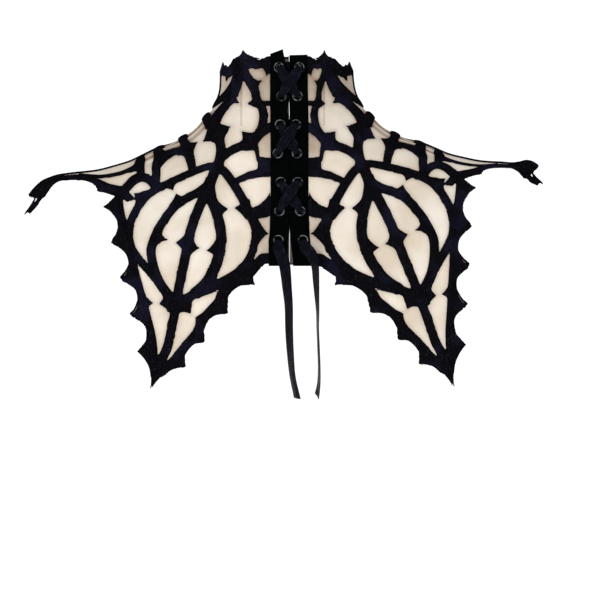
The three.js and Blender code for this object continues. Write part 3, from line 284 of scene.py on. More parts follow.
def bisect(beyond, low):
    """Values of v on both sides of the place where beyond(v) ends, searched from low on."""
    high = np.full_like(low, END)
    for _ in range(BISECTIONS):
        middle = (low + high) / 2
        yes = beyond(middle)
        low, high = np.where(yes, middle, low), np.where(yes, high, middle)
    return low, high


def down_to(z, low, turn_at):
    """(turn, v) at height z on the line that turn_at(v) gives, searched downwards from low."""
    v = sum(bisect(lambda v: surface(turn_at(v), v)[..., 2] > z, low)) / 2
    return turn_at(v), v


def back_turn(x, z):
    """(turn, v) of the surface points at |x| and z of the back view."""
    x = np.abs(x)
    widened = bisect(lambda v: ring(v)[..., 0] < x, np.zeros_like(x))[1]
    low = np.where(x > RINGS[0, 0], widened, 0)
    return down_to(z, low, lambda v: np.arcsin(np.minimum(x / ring(v)[..., 0], 1)))


def shoulder_turn(v, behind):
    return np.arccos(behind / ring(v)[..., 2]), v


def side_turn(behind, z):
    return down_to(z, np.zeros_like(z), lambda v: np.arccos(np.clip(behind / ring(v)[..., 2], -1, 1)))


TO_TURN = {"back": back_turn, "shoulder": shoulder_turn, "side": side_turn}


def smooth_path(path, steps=7):
    """Centripetal Catmull-Rom line through the points of a path."""
    p = np.array(path, float)
    p = np.vstack([2 * p[0] - p[1], p, 2 * p[-1] - p[-2]])
    out = []
    for i in range(1, len(p) - 2):
        d = [max(norm(p[i + k] - p[i + k - 1]) ** 0.5, 1e-4) for k in range(3)]
        a, b, c = ((p[i + k] - p[i + k - 1]) / d[k] for k in range(3))
        t1 = (a - (p[i + 1] - p[i - 1]) / (d[0] + d[1]) + b) * d[1]
        t2 = (b - (p[i + 2] - p[i]) / (d[1] + d[2]) + c) * d[1]
        out.append(curve(p[i], p[i + 1], t1, t2, np.linspace(0, 1, steps, endpoint=False)[:, None]))
    return np.vstack([*out, p[-2]])


def nearest_on(line, q):
    """Distance to a polyline, the arc length of its nearest point and how far q lies past an end."""
    arc = arc_lengths(line)
    best, where, past = np.full(len(q), np.inf), np.zeros(len(q)), np.zeros(len(q))
    last = len(line) - 2
    for k in range(last + 1):
        a, b = line[k], line[k + 1]
        span = norm(b - a)
        along = (b - a) / span
        t = (q - a) @ along
        foot = np.clip(t, 0, span)
        distance = norm(q - a - foot[:, None] * along, axis=1)
        closer = distance < best
        best = np.where(closer, distance, best)
        where = np.where(closer, arc[k] + foot, where)
        over = np.maximum(-t * (k == 0), (t - span) * (k == last))
        past = np.where(closer, np.maximum(over, 0), past)
    return best, where, past


FILLET = 1.2


def joined(a, b):
    """The greater of two depths, with the inner corner between them rounded."""
    share = np.clip(0.5 + (b - a) / (2 * FILLET), 0, 1)
    return between(a, b, share) + FILLET * share * (1 - share)


def crown(depth, half):
    """Height share of a satin stitch row, from its edge inwards."""
    s = np.clip(depth / half, 0, 1)
    return np.sqrt(1 - (1 - s) ** 2)


THORN_POWER, THORN_ROOT, THORN_CROWN, EDGE_CROWN = 1.4, 2.5, 3.2, 4
RIB_RISE, RIB_RISE_BY_WIDTH, EDGE_WIDTHS = 0.55, 0.06, (9, 9)
FAR_OUTSIDE, REACH, SIDE_VIEW_END, THREAD_SHIFT = -30.0, 3, 75, 50


def rib(q, line, widths):
    distance, s, past = nearest_on(line, q)
    half = between(*widths, s / arc_lengths(line)[-1]) / 2
    d = half - distance
    d = np.where(past > 0, np.minimum(-past, d), d)
    return d, crown(d, half) * (RIB_RISE + RIB_RISE_BY_WIDTH * half * 2), s


def thorn(q, line, widths):
    root, tip = line
    length = norm(tip - root)
    along = (tip - root) / length
    t = (q - root) @ along
    side = np.abs((q - root) @ np.array([-along[1], along[0]]))
    share = np.clip(t / length, 0, 1)
    half = widths[0] / 2 * (1 - share) ** THORN_POWER
    slant = widths[0] / 2 * THORN_POWER * (1 - share) ** (THORN_POWER - 1) / length
    d = (half - side) / np.sqrt(1 + slant ** 2)
    d = np.where(t > length, -norm(q - tip, axis=1), d)
    d = np.minimum(d, t + THORN_ROOT)
    return d, crown(d, THORN_CROWN), t


def edge(q, shape, widths):
    outline, arcs, hem = shape
    d = signed(outline, arcs, q)
    return d, crown(d, EDGE_CROWN), nearest_on(hem, q)[1]


ARC_STEPS = 12


def edge_shape(hem, start, stop, side, tips):
    """Outline of a thorned edge, its outer arcs and the hem's line that it reaches back to."""
    arcs = []
    for (*a, bow), (*b, _) in zip(tips, tips[1:]):
        a, b = np.array([a, b], float)
        chord = b - a
        inward = side * np.array([-chord[1], chord[0]])
        s = np.linspace(0, 1, ARC_STEPS + 1)[:-1, None]
        arcs.append(a + chord * s + inward * bow * 4 * s * (1 - s))
    arcs = np.vstack([*arcs, tips[-1][:2]])
    line = smooth_path(RIBS[hem][-1])
    count = len(line) - 1
    inner = line[round(start * count):round(stop * count) + 1]
    return np.vstack([arcs, inner[::-1]]), arcs, line


def within(outline, q):
    """Which points lie inside a closed outline."""
    inside = np.zeros(len(q), bool)
    for a, b in zip(outline, np.roll(outline, -1, axis=0)):
        if a[1] == b[1]:
            continue
        crosses = (a[1] > q[:, 1]) != (b[1] > q[:, 1])
        at = a[0] + (q[:, 1] - a[1]) * (b[0] - a[0]) / (b[1] - a[1])
        inside ^= crosses & (q[:, 0] < at)
    return inside


def signed(outline, line, q):
    """Distance to a line, less than zero outside the outline."""
    distance = nearest_on(line, q)[0]
    return np.where(within(outline, q), distance, -distance)


ROWS = [(view, rib, smooth_path(path), widths, ONE_SIDED.get(name))
        for name, (view, *widths, path) in RIBS.items()]
for *places, base, view in (row if len(row) > 5 else (*row, "back") for row in THORNS):
    ROWS.append((view, thorn, np.reshape(places, (2, 2)), (base, base), None))
for view, name, start, stop, side, tips in EDGES:
    ROWS.append((view, edge, edge_shape(name, start, stop, side, tips), EDGE_WIDTHS, ONE_SIDED.get(name)))
ROWS = [(*row, rng.uniform(0, THREAD_SHIFT)) for row in ROWS]


def tracery(turn, v, front, only=None):
    """Signed depth inside the embroidered rows, their height and the place along the row that lies on top."""
    x, y, z = surface(turn, v).T
    views = {"back": (x, z), "shoulder": (v, -y), "side": (-y, z)}
    depth, height, along = np.full(len(v), FAR_OUTSIDE), np.zeros(len(v)), np.zeros(len(v))
    for view, kind, shape, widths, part, offset in ROWS:
        if only and kind is not only or part == ("back" if front else "front"):
            continue
        q = np.stack(views[view], 1)
        outline = shape[0] if kind is edge else shape
        reach = max(widths) + REACH
        near = ((q > outline.min(0) - reach) & (q < outline.max(0) + reach)).all(1)
        if view == "side":
            near &= v < SIDE_VIEW_END
        if not near.any():
            continue
        d, top, s = kind(q[near], shape, widths)
        top = np.where(d > 0, top, 0)
        depth[near] = joined(depth[near], d)
        along[near] = np.where(top > height[near], s + offset, along[near])
        height[near] = np.maximum(height[near], top)
    if front:
        # A plain band runs down the centre front
        d = np.minimum.reduce([FRONT_BAND - x, BAND_TOP - z, z - BAND_BOTTOM])
        top = np.where(d > 0, crown(d, EDGE_CROWN), 0)
        depth = np.maximum(depth, d)
        along = np.where(top > height, v, along)
        height = np.maximum(height, top)
    return depth, height, along


RIDGE_FROM, RIDGE_TO, RIDGE_OVER = 18, 203, 0.02


def ground_outline(front):
    """The hems' centrelines as one outline in (turn, v)."""
    def hem(name):
        view, *_, path = RIBS[name]
        line = np.array(path, float)
        return np.stack(TO_TURN[view](line[:, 0], line[:, 1]), 1)
    ridge = np.array([[QUARTER + RIDGE_OVER, RIDGE_FROM], [QUARTER + RIDGE_OVER, RIDGE_TO]])
    shoulder = hem("hem_front")[::-1] if front else hem("hem_shoulder")[::-1][2:]
    return np.vstack([hem("hem_top"), hem("hem_neck")[1:], ridge, shoulder, hem("hem_outer")[::-1],
                      hem("hem_lower")[::-1]])


GROUND = {front: ground_outline(front) for front in (False, True)}
TURN_SCALE = 80


def ground_depth(q, front):
    scale = np.array([TURN_SCALE, 1])
    outline = GROUND[front] * scale
    return signed(outline, np.vstack([outline, outline[:1]]), q * scale)


# Mesh work in (turn, v): a sheared grid of even cells, cut along the lines where fields change sign
RADIUS_STEPS, GRID_MARGIN, V_END = 33, 3, 262


def corners(grid):
    """The four corners of each cell of a grid."""
    return grid[:-1, :-1], grid[:-1, 1:], grid[1:, 1:], grid[1:, :-1]


def quarter_grid(cell):
    rows = np.arange(0, V_END + cell, cell)[:, None]
    p = surface(np.linspace(0, QUARTER, RADIUS_STEPS), rows * np.ones(RADIUS_STEPS))
    radius = norm(np.diff(p, axis=1), axis=2).sum(1)[:, None] / QUARTER
    widest = math.ceil(QUARTER / 2 * radius.max() / cell) + 1
    turn = QUARTER / 2 + np.arange(-widest, widest + 1) * cell / radius
    v = rows * np.ones_like(turn)
    margin = GRID_MARGIN * cell / radius
    cells = np.logical_and.reduce(corners((turn > -margin) & (turn < QUARTER + margin)))
    a, b, c, d = corners(surface(turn, v))
    one = norm(a - c, axis=2) < norm(b - d, axis=2)
    a, b, c, d = corners(np.arange(turn.size).reshape(turn.shape))
    splits = (cells & one, ((a, b, c), (a, c, d))), (cells & ~one, ((a, b, d), (b, c, d)))
    tris = [np.stack([k[pick] for k in three], 1) for pick, split in splits for three in split]
    return tidy(np.stack([turn.ravel(), v.ravel()], 1), np.vstack(tris))


def tidy(points, tris):
    used = np.unique(tris)
    new = np.full(len(points), -1)
    new[used] = np.arange(len(used))
    return points[used], new[tris]


def cut(points, tris, field, snap):
    """Keeps the side of a mesh where the field is positive, with new points where it is zero."""
    value = field(points)
    value = np.where(np.abs(value) < snap, 0, value)
    low, high = value[tris].min(1), value[tris].max(1)
    keep = (low >= 0) & (high > 0)
    mixed = tris[(low < 0) & (high > 0)]
    added, made, pieces = [], {}, []

    def crossing(i, j):
        key = (i, j) if i < j else (j, i)
        if key not in made:
            s = value[i] / (value[i] - value[j])
            made[key] = len(points) + len(added)
            added.append(points[i] + (points[j] - points[i]) * s)
        return made[key]

    for triangle in mixed.tolist():
        loop = []
        for i, j in zip(triangle, triangle[1:] + triangle[:1]):
            if value[i] >= 0:
                loop.append(i)
            if value[i] * value[j] < 0:
                loop.append(crossing(i, j))
        for k in range(1, len(loop) - 1):
            pieces.append((loop[0], loop[k], loop[k + 1]))
    points = np.vstack([points, added]) if added else points
    tris = np.vstack([tris[keep], pieces]) if pieces else tris[keep]
    return tidy(points, tris)


PLACKET_TUCK = 0.3
CUT_SCALE, CUT_SNAP, RIDGE_SNAP, ON_RIDGE = 100, 1e-9, 1e-6, 1e-7


def placket_side(q):
    x, _, z = surface(*q.T).T
    return x - edge_at(PLACKET_FAR, z) + PLACKET_TUCK


def seam_side(q):
    return surface(*q.T)[:, 0] - SEAM_GAP / 2


def edge_at(rows, z):
    return np.interp(z, *zip(*rows))


def half_mesh(cell, field, snap):
    """Back and front quarters of one half joined on the ridge: points (turn, v), triangles, front flags."""
    points, tris = cut(*quarter_grid(cell), lambda q: (QUARTER - q[:, 0]) * CUT_SCALE, CUT_SNAP)
    points[:, 0] = np.where(points[:, 0] > QUARTER - RIDGE_SNAP, QUARTER, points[:, 0])
    over_ridge, all_points, all_tris, count = (points, tris), [], [], 0
    for front, inner in ((False, placket_side), (True, seam_side)):
        points, tris = cut(*over_ridge, inner, snap / 2)
        points, tris = cut(points, tris, lambda q: field(q, front), snap)
        if front:
            tris = tris[:, ::-1]
        all_points.append(np.column_stack([points, np.full(len(points), float(front))]))
        all_tris.append(tris + count)
        count += len(points)
    points, tris = np.vstack(all_points), np.vstack(all_tris)
    known, target = {}, np.arange(len(points))
    for i in np.flatnonzero(np.abs(points[:, 0] - QUARTER) < ON_RIDGE):
        target[i] = known.setdefault(round(points[i, 1], 3), i)
    points, tris = tidy(points, target[tris])
    return points[:, :2], tris, points[:, 2] > 0


# Where ribs cross the shoulder line the cloth stands up, and between them the net sinks into folds.
# Each row is a place along the shoulder line, how far it stands out and its length.
SWELLS = [(60.5, 0.5, 9), (74, -0.8, 7), (86.5, 0.2, 8), (97, -0.4, 6), (107, 0.4, 7), (131, -0.6, 9)]
FOLD_PITCH, FOLD_HEIGHT = 10.5, 0.75
FOLD_LEAN, FOLD_WANDER, WANDER_RATE = 0.06, 0.8, 0.13
TIP_TWIST = 5


def gathering(turn, v):
    """Share of the gathering along the shoulder line and the phase of its folds."""
    y = np.abs(surface(turn, v)[:, 1])
    near = (1 - zone("gather_off", y)) * zone("gather_from", v) * (1 - zone("gather_to", v))
    return near, 2 * math.pi * y / FOLD_PITCH + FOLD_LEAN * v + FOLD_WANDER * np.sin(v * WANDER_RATE)


def sway(turn, v):
    """Height that the cloth stands off the even surface, in millimetres."""
    near, phase = gathering(turn, v)
    swell = sum(high * bell(v, at, length) for at, high, length in SWELLS)
    y = np.abs(surface(turn, v)[:, 1])
    return swell * (1 - zone("swell_off", y)) + near * FOLD_HEIGHT * np.sin(phase)


def twisted(turn, v, front):
    """Height that the shoulder tips turn by, so that they face the back."""
    y = np.abs(surface(turn, v)[:, 1])
    share = zone("turn_from", v) * (1 - zone("turn_to", v)) * zone("turn_edge", y)
    return TIP_TWIST * np.where(front, share, -share)


def lay(points, front, side, height):
    """Points of a half in the worn collar's place, in metres."""
    turn, v = points[:, 0], points[:, 1]
    p = raised(turn, v, height + sway(turn, v) + twisted(turn, v, front))
    p[:, 1] = np.where(front, -p[:, 1], p[:, 1])
    p[:, 0] *= side
    return worn(p) * MM


def shell(name, slot, outer, inner, tris, flip, attributes):
    """A closed sheet between two layers of the same triangles."""
    count = len(outer)
    if flip:
        tris = tris[:, ::-1]
    edges = np.vstack([tris[:, [0, 1]], tris[:, [1, 2]], tris[:, [2, 0]]])
    rim = edges[~np.isin(edges @ (count, 1), edges @ (1, count))]
    a, b = rim.T
    faces = np.vstack([tris, tris[:, ::-1] + count, np.stack([b, a, a + count], 1),
                       np.stack([b, a + count, b + count], 1)])
    layers = {key: np.concatenate(pair) for key, pair in attributes.items()}
    return make_piece(name, slot, np.vstack([outer, inner]), faces.tolist(), layers)


def make_piece(name, slot, co, faces, attributes):
    """A smooth piece, with a value for each point under each attribute's name."""
    mesh = bpy.data.meshes.new(name)
    mesh.from_pydata(co.tolist(), [], faces)
    mesh.validate()
    mesh.shade_smooth()
    for key, values in attributes.items():
        layer = mesh.attributes.new(key, "FLOAT", "POINT")
        layer.data.foreach_set("value", values.astype(np.float32).ravel())
    mesh.materials.append(MATERIALS[slot])
    obj = place(name, mesh)
    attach(obj, "root")
    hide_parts(name)
    return obj


# Materials, with their tones as they look on a screen. Some tones are painted light: highlights on the
# stitches, the eyelets' lip and the ribbon, and shade on the net
TONES = {
    "stitch": (3, 3, 4), "stitch_light": (12, 11, 14), "painted_satin_sheen": (22, 22, 40), "thread": (25, 24, 31),
    "fleck": (120, 116, 122), "net": (210, 196, 178), "net_light": (230, 222, 210),
    "net_seam_and_painted_shade": (108, 82, 58), "net_hole": (178, 158, 136), "stitch_through": (26, 24, 34),
    "pile": (1, 2, 2), "pile_light": (5, 9, 8), "pile_sheen": (120, 190, 165), "enamel": (6, 7, 8),
    "lip_highlight": (150, 154, 158), "ribbon": (1, 1, 3), "ribbon_light": (11, 12, 20),
    "ribbon_painted_sheen": (52, 54, 70), "glint": (215, 220, 255),
}
# Noise: scale, detail, roughness
CLOUDS = {
    "thread_wander": (900, 2, 0.5), "stitch": (160, 3, 0.6), "painted_satin_sheen": (42, 2, 0.5), "fleck": (1500, 1, 0.5),
    "fuzz": (700, 2, 0.5), "net": (30, 2, 0.5), "nap": (70, 3, 0.6), "pile": (2600, 2, 0.5),
    "wear_and_glint": (260, 3, 0.6), "grain": (5, 3, 0.6), "sheen": (1.5, 1, 0.5),
}
# Relief: depth in metres, strength
BUMPS = {
    "thread": (0.00018, 0.7), "fuzz": (0.0003, 0.5), "net": (0.00012, 0.5), "pile": (0.0004, 0.7),
    "nap": (0.0008, 0.4), "weave": (0.00005, 0.5), "grain": (0.0004, 0.5),
}
# Patches of another tone, as noise * gain + shift, kept from 0 to high
PATCHES = {"painted_satin_sheen": (6, -3.1, 0.8), "net": (3, -1, 1), "lip": (1, 0, 0.6), "sheen": (6, -3.7, 0.8)}
STITCH_PITCH, THREAD_WANDER, THREAD_SHARE, FLECK_FROM, FLECK_SHARE = 0.62, 1.3, 0.22, 0.715, 0.3
WEAVE_PITCH, STREAK_ACROSS, STREAK_ALONG = 0.5, 3.0, 0.08
LIP_GLINT, EYELET_ROUGHNESS = (4.0, -1.75), (0.25, 0.3)


def linear(tone):
    shares = [c / 255 for c in TONES[tone]]
    return (*(c / 12.92 if c <= 0.04 else ((c + 0.055) / 1.055) ** 2.4 for c in shares), 1.0)


class Material:
    def __init__(self, name, group="materials", shader="Principled BSDF", **settings):
        self.material = getattr(bpy.data, group).new(name)
        self.material.use_nodes = True
        self.tree = self.material.node_tree
        self.shader = self.tree.nodes[shader]
        for key, value in settings.items():
            self.shader.inputs[key.replace("_", " ")].default_value = value

    def node(self, kind, **settings):
        made = self.tree.nodes.new("ShaderNode" + kind)
        for key, value in settings.items():
            if key in made.inputs:
                made.inputs[key].default_value = value
            else:
                setattr(made, key, value)
        return made

    def fill(self, socket, value):
        """Sets a socket to a tone's name or a number, or links it to another node's output."""
        if isinstance(value, str):
            socket.default_value = linear(value)
        elif isinstance(value, (int, float)):
            socket.default_value = value
        else:
            self.tree.links.new(value, socket)

    def maths(self, operation, a, b=0.0, c=0.0):
        made = self.node("Math", operation=operation)
        for socket, value in zip(made.inputs, (a, b, c)):
            self.fill(socket, value)
        return made.outputs[0]

    def patches(self, value, name):
        gain, shift, high = PATCHES[name]
        value = self.maths("MULTIPLY_ADD", value, gain, shift)
        return self.maths("MINIMUM", self.maths("MAXIMUM", value, 0.0), high)

    def mix(self, factor, a, b):
        made = self.node("Mix", data_type="RGBA")
        for socket, value in zip((made.inputs[0], made.inputs[6], made.inputs[7]), (factor, a, b)):
            self.fill(socket, value)
        return made.outputs[2]

    def colour(self, value):
        self.fill(self.shader.inputs["Base Color"], value)

    def bump(self, height, name):
        made = self.node("Bump", Distance=BUMPS[name][0], Strength=BUMPS[name][1])
        normal = self.shader.inputs["Normal"]
        if normal.links:
            self.fill(made.inputs["Normal"], normal.links[0].from_socket)
        self.fill(made.inputs["Height"], height)
        self.fill(normal, made.outputs[0])

    def coordinates(self):
        return self.node("TexCoord").outputs["Object"]

    def attribute(self, name):
        return self.node("Attribute", attribute_name=name).outputs["Fac"]

    def noise(self, name, vector=None):
        scale, detail, roughness = CLOUDS[name]
        made = self.node("TexNoise", Scale=scale, Detail=detail, Roughness=roughness)
        self.fill(made.inputs["Vector"], vector or self.coordinates())
        return made.outputs["Fac"]

    def stripes(self, along, pitch, wander=0.0):
        return self.maths("SINE", self.maths("MULTIPLY_ADD", along, 2 * math.pi / pitch, wander))


def stitch_material():
    m = Material("satin_stitch", Roughness=0.5, Specular_IOR_Level=0.0)
    wander = m.maths("MULTIPLY", m.noise("thread_wander"), THREAD_WANDER)
    thread = m.stripes(m.attribute("along"), STITCH_PITCH, wander)
    base = m.mix(m.noise("stitch"), "stitch", "stitch_light")
    # Patches of painted satin sheen, navy, over the dark stitches
    base = m.mix(m.patches(m.noise("painted_satin_sheen"), "painted_satin_sheen"), base, "painted_satin_sheen")
    # Each stitch gets a lighter stripe: a painted highlight on the threads
    lit = m.mix(m.maths("MULTIPLY_ADD", thread, THREAD_SHARE, THREAD_SHARE), base, "thread")
    fleck = m.maths("GREATER_THAN", m.noise("fleck"), FLECK_FROM)
    m.colour(m.mix(m.maths("MULTIPLY", fleck, FLECK_SHARE), lit, "fleck"))
    m.bump(thread, "thread")
    m.bump(m.noise("fuzz"), "fuzz")
    return m.material


# Darts of the neck band: their x, half width, foot, and how dark they are
DARTS, DART_WIDTH, DART_FOOT, DART_SHADE = (-37.8, 27.0), 0.8, 19, 0.3
ONE_WIDTH_OFF = math.exp(-1)
NET_CELLS, HOLE_FROM, HOLE_SHARE = 1500, 0.16, 0.16


def net_material():
    m = Material("nude_net", Roughness=0.85, Specular_IOR_Level=0.0)
    shade = m.attribute("shade")
    light_cloth = m.mix(m.patches(m.noise("net"), "net"), "net", "net_light")
    place_in = m.node("SeparateXYZ")
    m.fill(place_in.inputs[0], m.coordinates())
    x, y, z = place_in.outputs
    for dart_x in DARTS:
        off = m.maths("MULTIPLY", m.maths("SUBTRACT", x, dart_x * MM), 1 / (DART_WIDTH * MM))
        seam = m.maths("POWER", ONE_WIDTH_OFF, m.maths("MULTIPLY", off, off))
        seam = m.maths("MULTIPLY", seam, m.maths("GREATER_THAN", z, DART_FOOT * MM))
        seam = m.maths("MULTIPLY", seam, m.maths("LESS_THAN", y, 0.0))
        shade = m.maths("MULTIPLY_ADD", seam, DART_SHADE, shade)
    # The shade attribute is painted shade; the darts add their dark seam lines to it
    cloth = m.mix(m.maths("MINIMUM", shade, 1.0), light_cloth, "net_seam_and_painted_shade")
    cells = m.node("TexVoronoi", Scale=NET_CELLS)
    m.fill(cells.inputs["Vector"], m.coordinates())
    cells.feature = "DISTANCE_TO_EDGE"
    hole = m.maths("GREATER_THAN", cells.outputs["Distance"], HOLE_FROM)
    meshed = m.mix(m.maths("MULTIPLY", hole, HOLE_SHARE), cloth, "net_hole")
    m.colour(m.mix(m.attribute("through"), meshed, "stitch_through"))
    m.bump(cells.outputs["Distance"], "net")
    return m.material


def velvet_material():
    m = Material("velvet", Roughness=0.95, Specular_IOR_Level=0.0, Sheen_Weight=0.006, Sheen_Roughness=0.35,
                 Sheen_Tint=linear("pile_sheen"))
    nap = m.noise("nap")
    m.colour(m.mix(nap, "pile", "pile_light"))
    m.bump(m.noise("pile"), "pile")
    m.bump(nap, "nap")
    return m.material


def eyelet_material():
    m = Material("eyelet_metal", Specular_IOR_Level=0.06)
    # The top of the rolled lip is painted light grey, a painted highlight broken into arcs by noise; the same
    # noise varies the roughness
    wear_and_glint = m.noise("wear_and_glint")
    lip_glint_mask = m.maths("MULTIPLY", m.attribute("lip"), m.maths("MULTIPLY_ADD", wear_and_glint, *LIP_GLINT))
    m.colour(m.mix(m.patches(lip_glint_mask, "lip"), "enamel", "lip_highlight"))
    m.fill(m.shader.inputs["Roughness"], m.maths("MULTIPLY_ADD", wear_and_glint, *EYELET_ROUGHNESS))
    return m.material


def ribbon_material():
    m = Material("satin_ribbon", Roughness=0.24, Specular_IOR_Level=0.04, Specular_Tint=linear("glint"))
    along = m.attribute("along")
    streak = m.node("CombineXYZ")
    m.fill(streak.inputs[0], m.maths("MULTIPLY", m.attribute("across"), STREAK_ACROSS))
    m.fill(streak.inputs[1], m.maths("MULTIPLY", along, STREAK_ALONG))
    grain = m.noise("grain", streak.outputs[0])
    # Streaks of painted sheen along the ribbon
    sheen = m.patches(m.noise("sheen", streak.outputs[0]), "sheen")
    body = m.mix(grain, "ribbon", "ribbon_light")
    m.colour(m.mix(sheen, body, "ribbon_painted_sheen"))
    m.bump(m.stripes(along, WEAVE_PITCH), "weave")
    m.bump(grain, "grain")
    return m.material


MATERIALS = {"satin_stitch": stitch_material(), "net": net_material(), "velvet": velvet_material(),
             "eyelet_metal": eyelet_material(), "ribbon": ribbon_material()}


# Placket, eyelets and ribbon sit on the centre back, placed by the back view's (x, z)
def on_placket(x, z, height):
    x, z, height = np.broadcast_arrays(*(np.asarray(k, float) for k in (x, z, height)))
    p = raised(*back_turn(x, z), height)
    p[..., 0] *= np.sign(x)
    return worn(p)


# The ribbon's section: points across, how its rims thin out, its cup and ripple, and its weave's width
SHARES = np.linspace(-0.5, 0.5, 9)
RIM_THINNING, RIM_POWER, CUP, RIPPLE, RIPPLES, WEAVE_WIDTH = 0.55, 6, 0.5, 0.22, 5, 6.4


def ribbon_mesh(name, centres, acrosses, widths, thicks, curl, slant=0):
    """A closed flat ribbon through smooth stations, cut at a slant at its end."""
    count, around = len(centres), 2 * len(SHARES)
    forward = unit(np.gradient(centres, axis=0))
    flat = unit(acrosses - forward * np.sum(acrosses * forward, axis=1, keepdims=True))
    up = np.cross(flat, forward)
    spread = np.concatenate([SHARES, SHARES[::-1]])
    face = np.repeat([1, -1], len(SHARES))
    rim = 1 - RIM_THINNING * (np.abs(spread) * 2) ** RIM_POWER
    cup = CUP * np.cos(math.pi * spread * 2) + RIPPLE * np.sin(math.pi * spread * RIPPLES)
    offset = thicks[:, None] / 2 * face * rim + curl[:, None] * cup
    aside = (widths[:, None] * spread)[..., None]
    co = centres[:, None] + flat[:, None] * aside + up[:, None] * offset[..., None]
    co[-1] += forward[-1] * (spread * slant)[:, None]
    faces = []
    for i in range(0, (count - 1) * around, around):
        for k in range(around):
            a, b = i + k, i + (k + 1) % around
            faces.append((a, b, b + around, a + around))
    last = (count - 1) * around
    for k in range(len(SHARES) - 1):
        a, b, c, d = k, k + 1, around - 2 - k, around - 1 - k
        faces.append((b, a, d, c))
        faces.append((last + a, last + b, last + c, last + d))
    along, across = np.broadcast_arrays(arc_lengths(centres)[:, None], spread * WEAVE_WIDTH)
    return make_piece(name, "ribbon", co.reshape(-1, 3) * MM, faces, {"along": along, "across": across})


def resample(rows, step):
    """Smooth rows of numbers, first three columns a place, at an even step along the way."""
    rows = smooth_path(rows, 8)
    arc = arc_lengths(rows[:, :3])
    at = np.linspace(0, arc[-1], max(2, int(round(arc[-1] / step)) + 1))
    return np.stack([np.interp(at, arc, rows[:, k]) for k in range(rows.shape[1])], 1)


# Ribbon ends, from inside an eyelet: x, z, distance behind the neck's axis and turn of the width
TAILS = {
    "ribbon_tail_left": [(-8.7, -70.4, 86.6, 0), (-8.7, -71.2, 89.2, 0), (-8.8, -73.2, 91, 0),
        (-8.6, -76.2, 92.2, 2), (-7.2, -80.5, 93.4, 8), (-4.1, -88.9, 95, 22), (-3, -97, 96.4, 30),
        (-2.1, -106.5, 97.2, 37), (-0.5, -122.5, 98, 48), (-0.1, -138.5, 98.4, 52), (0.7, -156.8, 98.8, 56),
        (2.3, -176.9, 99.2, 60), (5.9, -193.7, 99.6, 57)],
    "ribbon_tail_right": [(10.9, -70.6, 86.5, 0), (10.9, -71.3, 89.1, 0), (11.1, -73, 91, 0),
        (12.2, -75.8, 92.6, 4), (15.3, -79.3, 93.9, 14), (18.6, -84.9, 95.4, 34), (20.1, -91, 96.6, 52),
        (20.9, -102.5, 97.6, 60), (21.6, -114.5, 98.2, 69), (22.1, -126.5, 98.6, 76),
        (21.9, -138.5, 98.8, 78), (22.4, -154.4, 99.2, 78), (23, -170.5, 99.6, 77), (22.8, -182.5, 100, 74),
        (21.4, -192, 100.2, 66)],
}
TAIL_STEP, TAIL_THIN, TAIL_THICKER, GATHERED_SHARE = 2.2, 0.45, 1.6, 0.52
TAIL_CURL, TAIL_WAVES = 0.5, 9


def make_tail(name, slant):
    rows = [(x, -behind, z, turned) for x, z, behind, turned in TAILS[name]]
    way = resample(rows, TAIL_STEP)
    centres, turned = way[:, :3], np.radians(way[:, 3])
    acrosses = np.stack([np.cos(turned), -np.sin(turned), np.zeros(len(turned))], 1)
    s = np.linspace(0, 1, len(centres))
    gathered = 1 - zone("tail_opens", s)
    curl = TAIL_CURL * np.sin(s * TAIL_WAVES + slant) * zone("tail_curls", s)
    obj = ribbon_mesh(name, centres, acrosses, RIBBON_WIDTH * (1 - GATHERED_SHARE * gathered),
                      TAIL_THIN + TAIL_THICKER * gathered, curl, slant)
    length = arc_lengths(centres)[-1] * MM


make_tail("ribbon_tail_left", 2.5)
make_tail("ribbon_tail_right", 4.5)

# The lacing between two eyelets: distance from an eyelet, height outside, height inside, opened share
CROSSING = [(0.3, 3.4, -1.5, 0), (2.2, 4.9, -2.4, 0.2), (7, 4.6, -2.3, 0.85)]
MIDDLE, MIDDLE_OPENED = (4.2, -1.9), 0.85
OVER_LIFT, HOLE_HEIGHT, START_HEIGHT, LACE_END_HEIGHT = 1.6, 0.7, -2.2, 0.2
LACE_STEP, LACE_CURL, LACE_GATHERED_CURL = 0.9, 0.12, 0.45
# The ribbon's way behind the top row into its first eyelet: x and opened share
LACE_STARTS = {-1: [(5.1, 0.4), (1.5, 1), (-3, 1), (-5.2, 0.5), (-6.6, 0.1)], 1: [(5.4, 0.4), (6.7, 0.1)]}


def eyelet_place(side, row):
    return np.array([side * EYELET_X[side][row - 1], EYELET_TOP - EYELET_PITCH * (row - 1)])


def lace_station(place_at, height, across, opened):
    """Centre, direction across, width, thickness and gathered share of the ribbon."""
    centre, high, low = (on_placket(*(place_at + k * np.array(across)), height) for k in (0, 1, -1))
    return [*centre, *unit(high - low), between(GATHERED_WIDTH, RIBBON_WIDTH, opened),
            between(GATHERED_THICK, RIBBON_THICK, opened ** 0.5), 1 - opened]


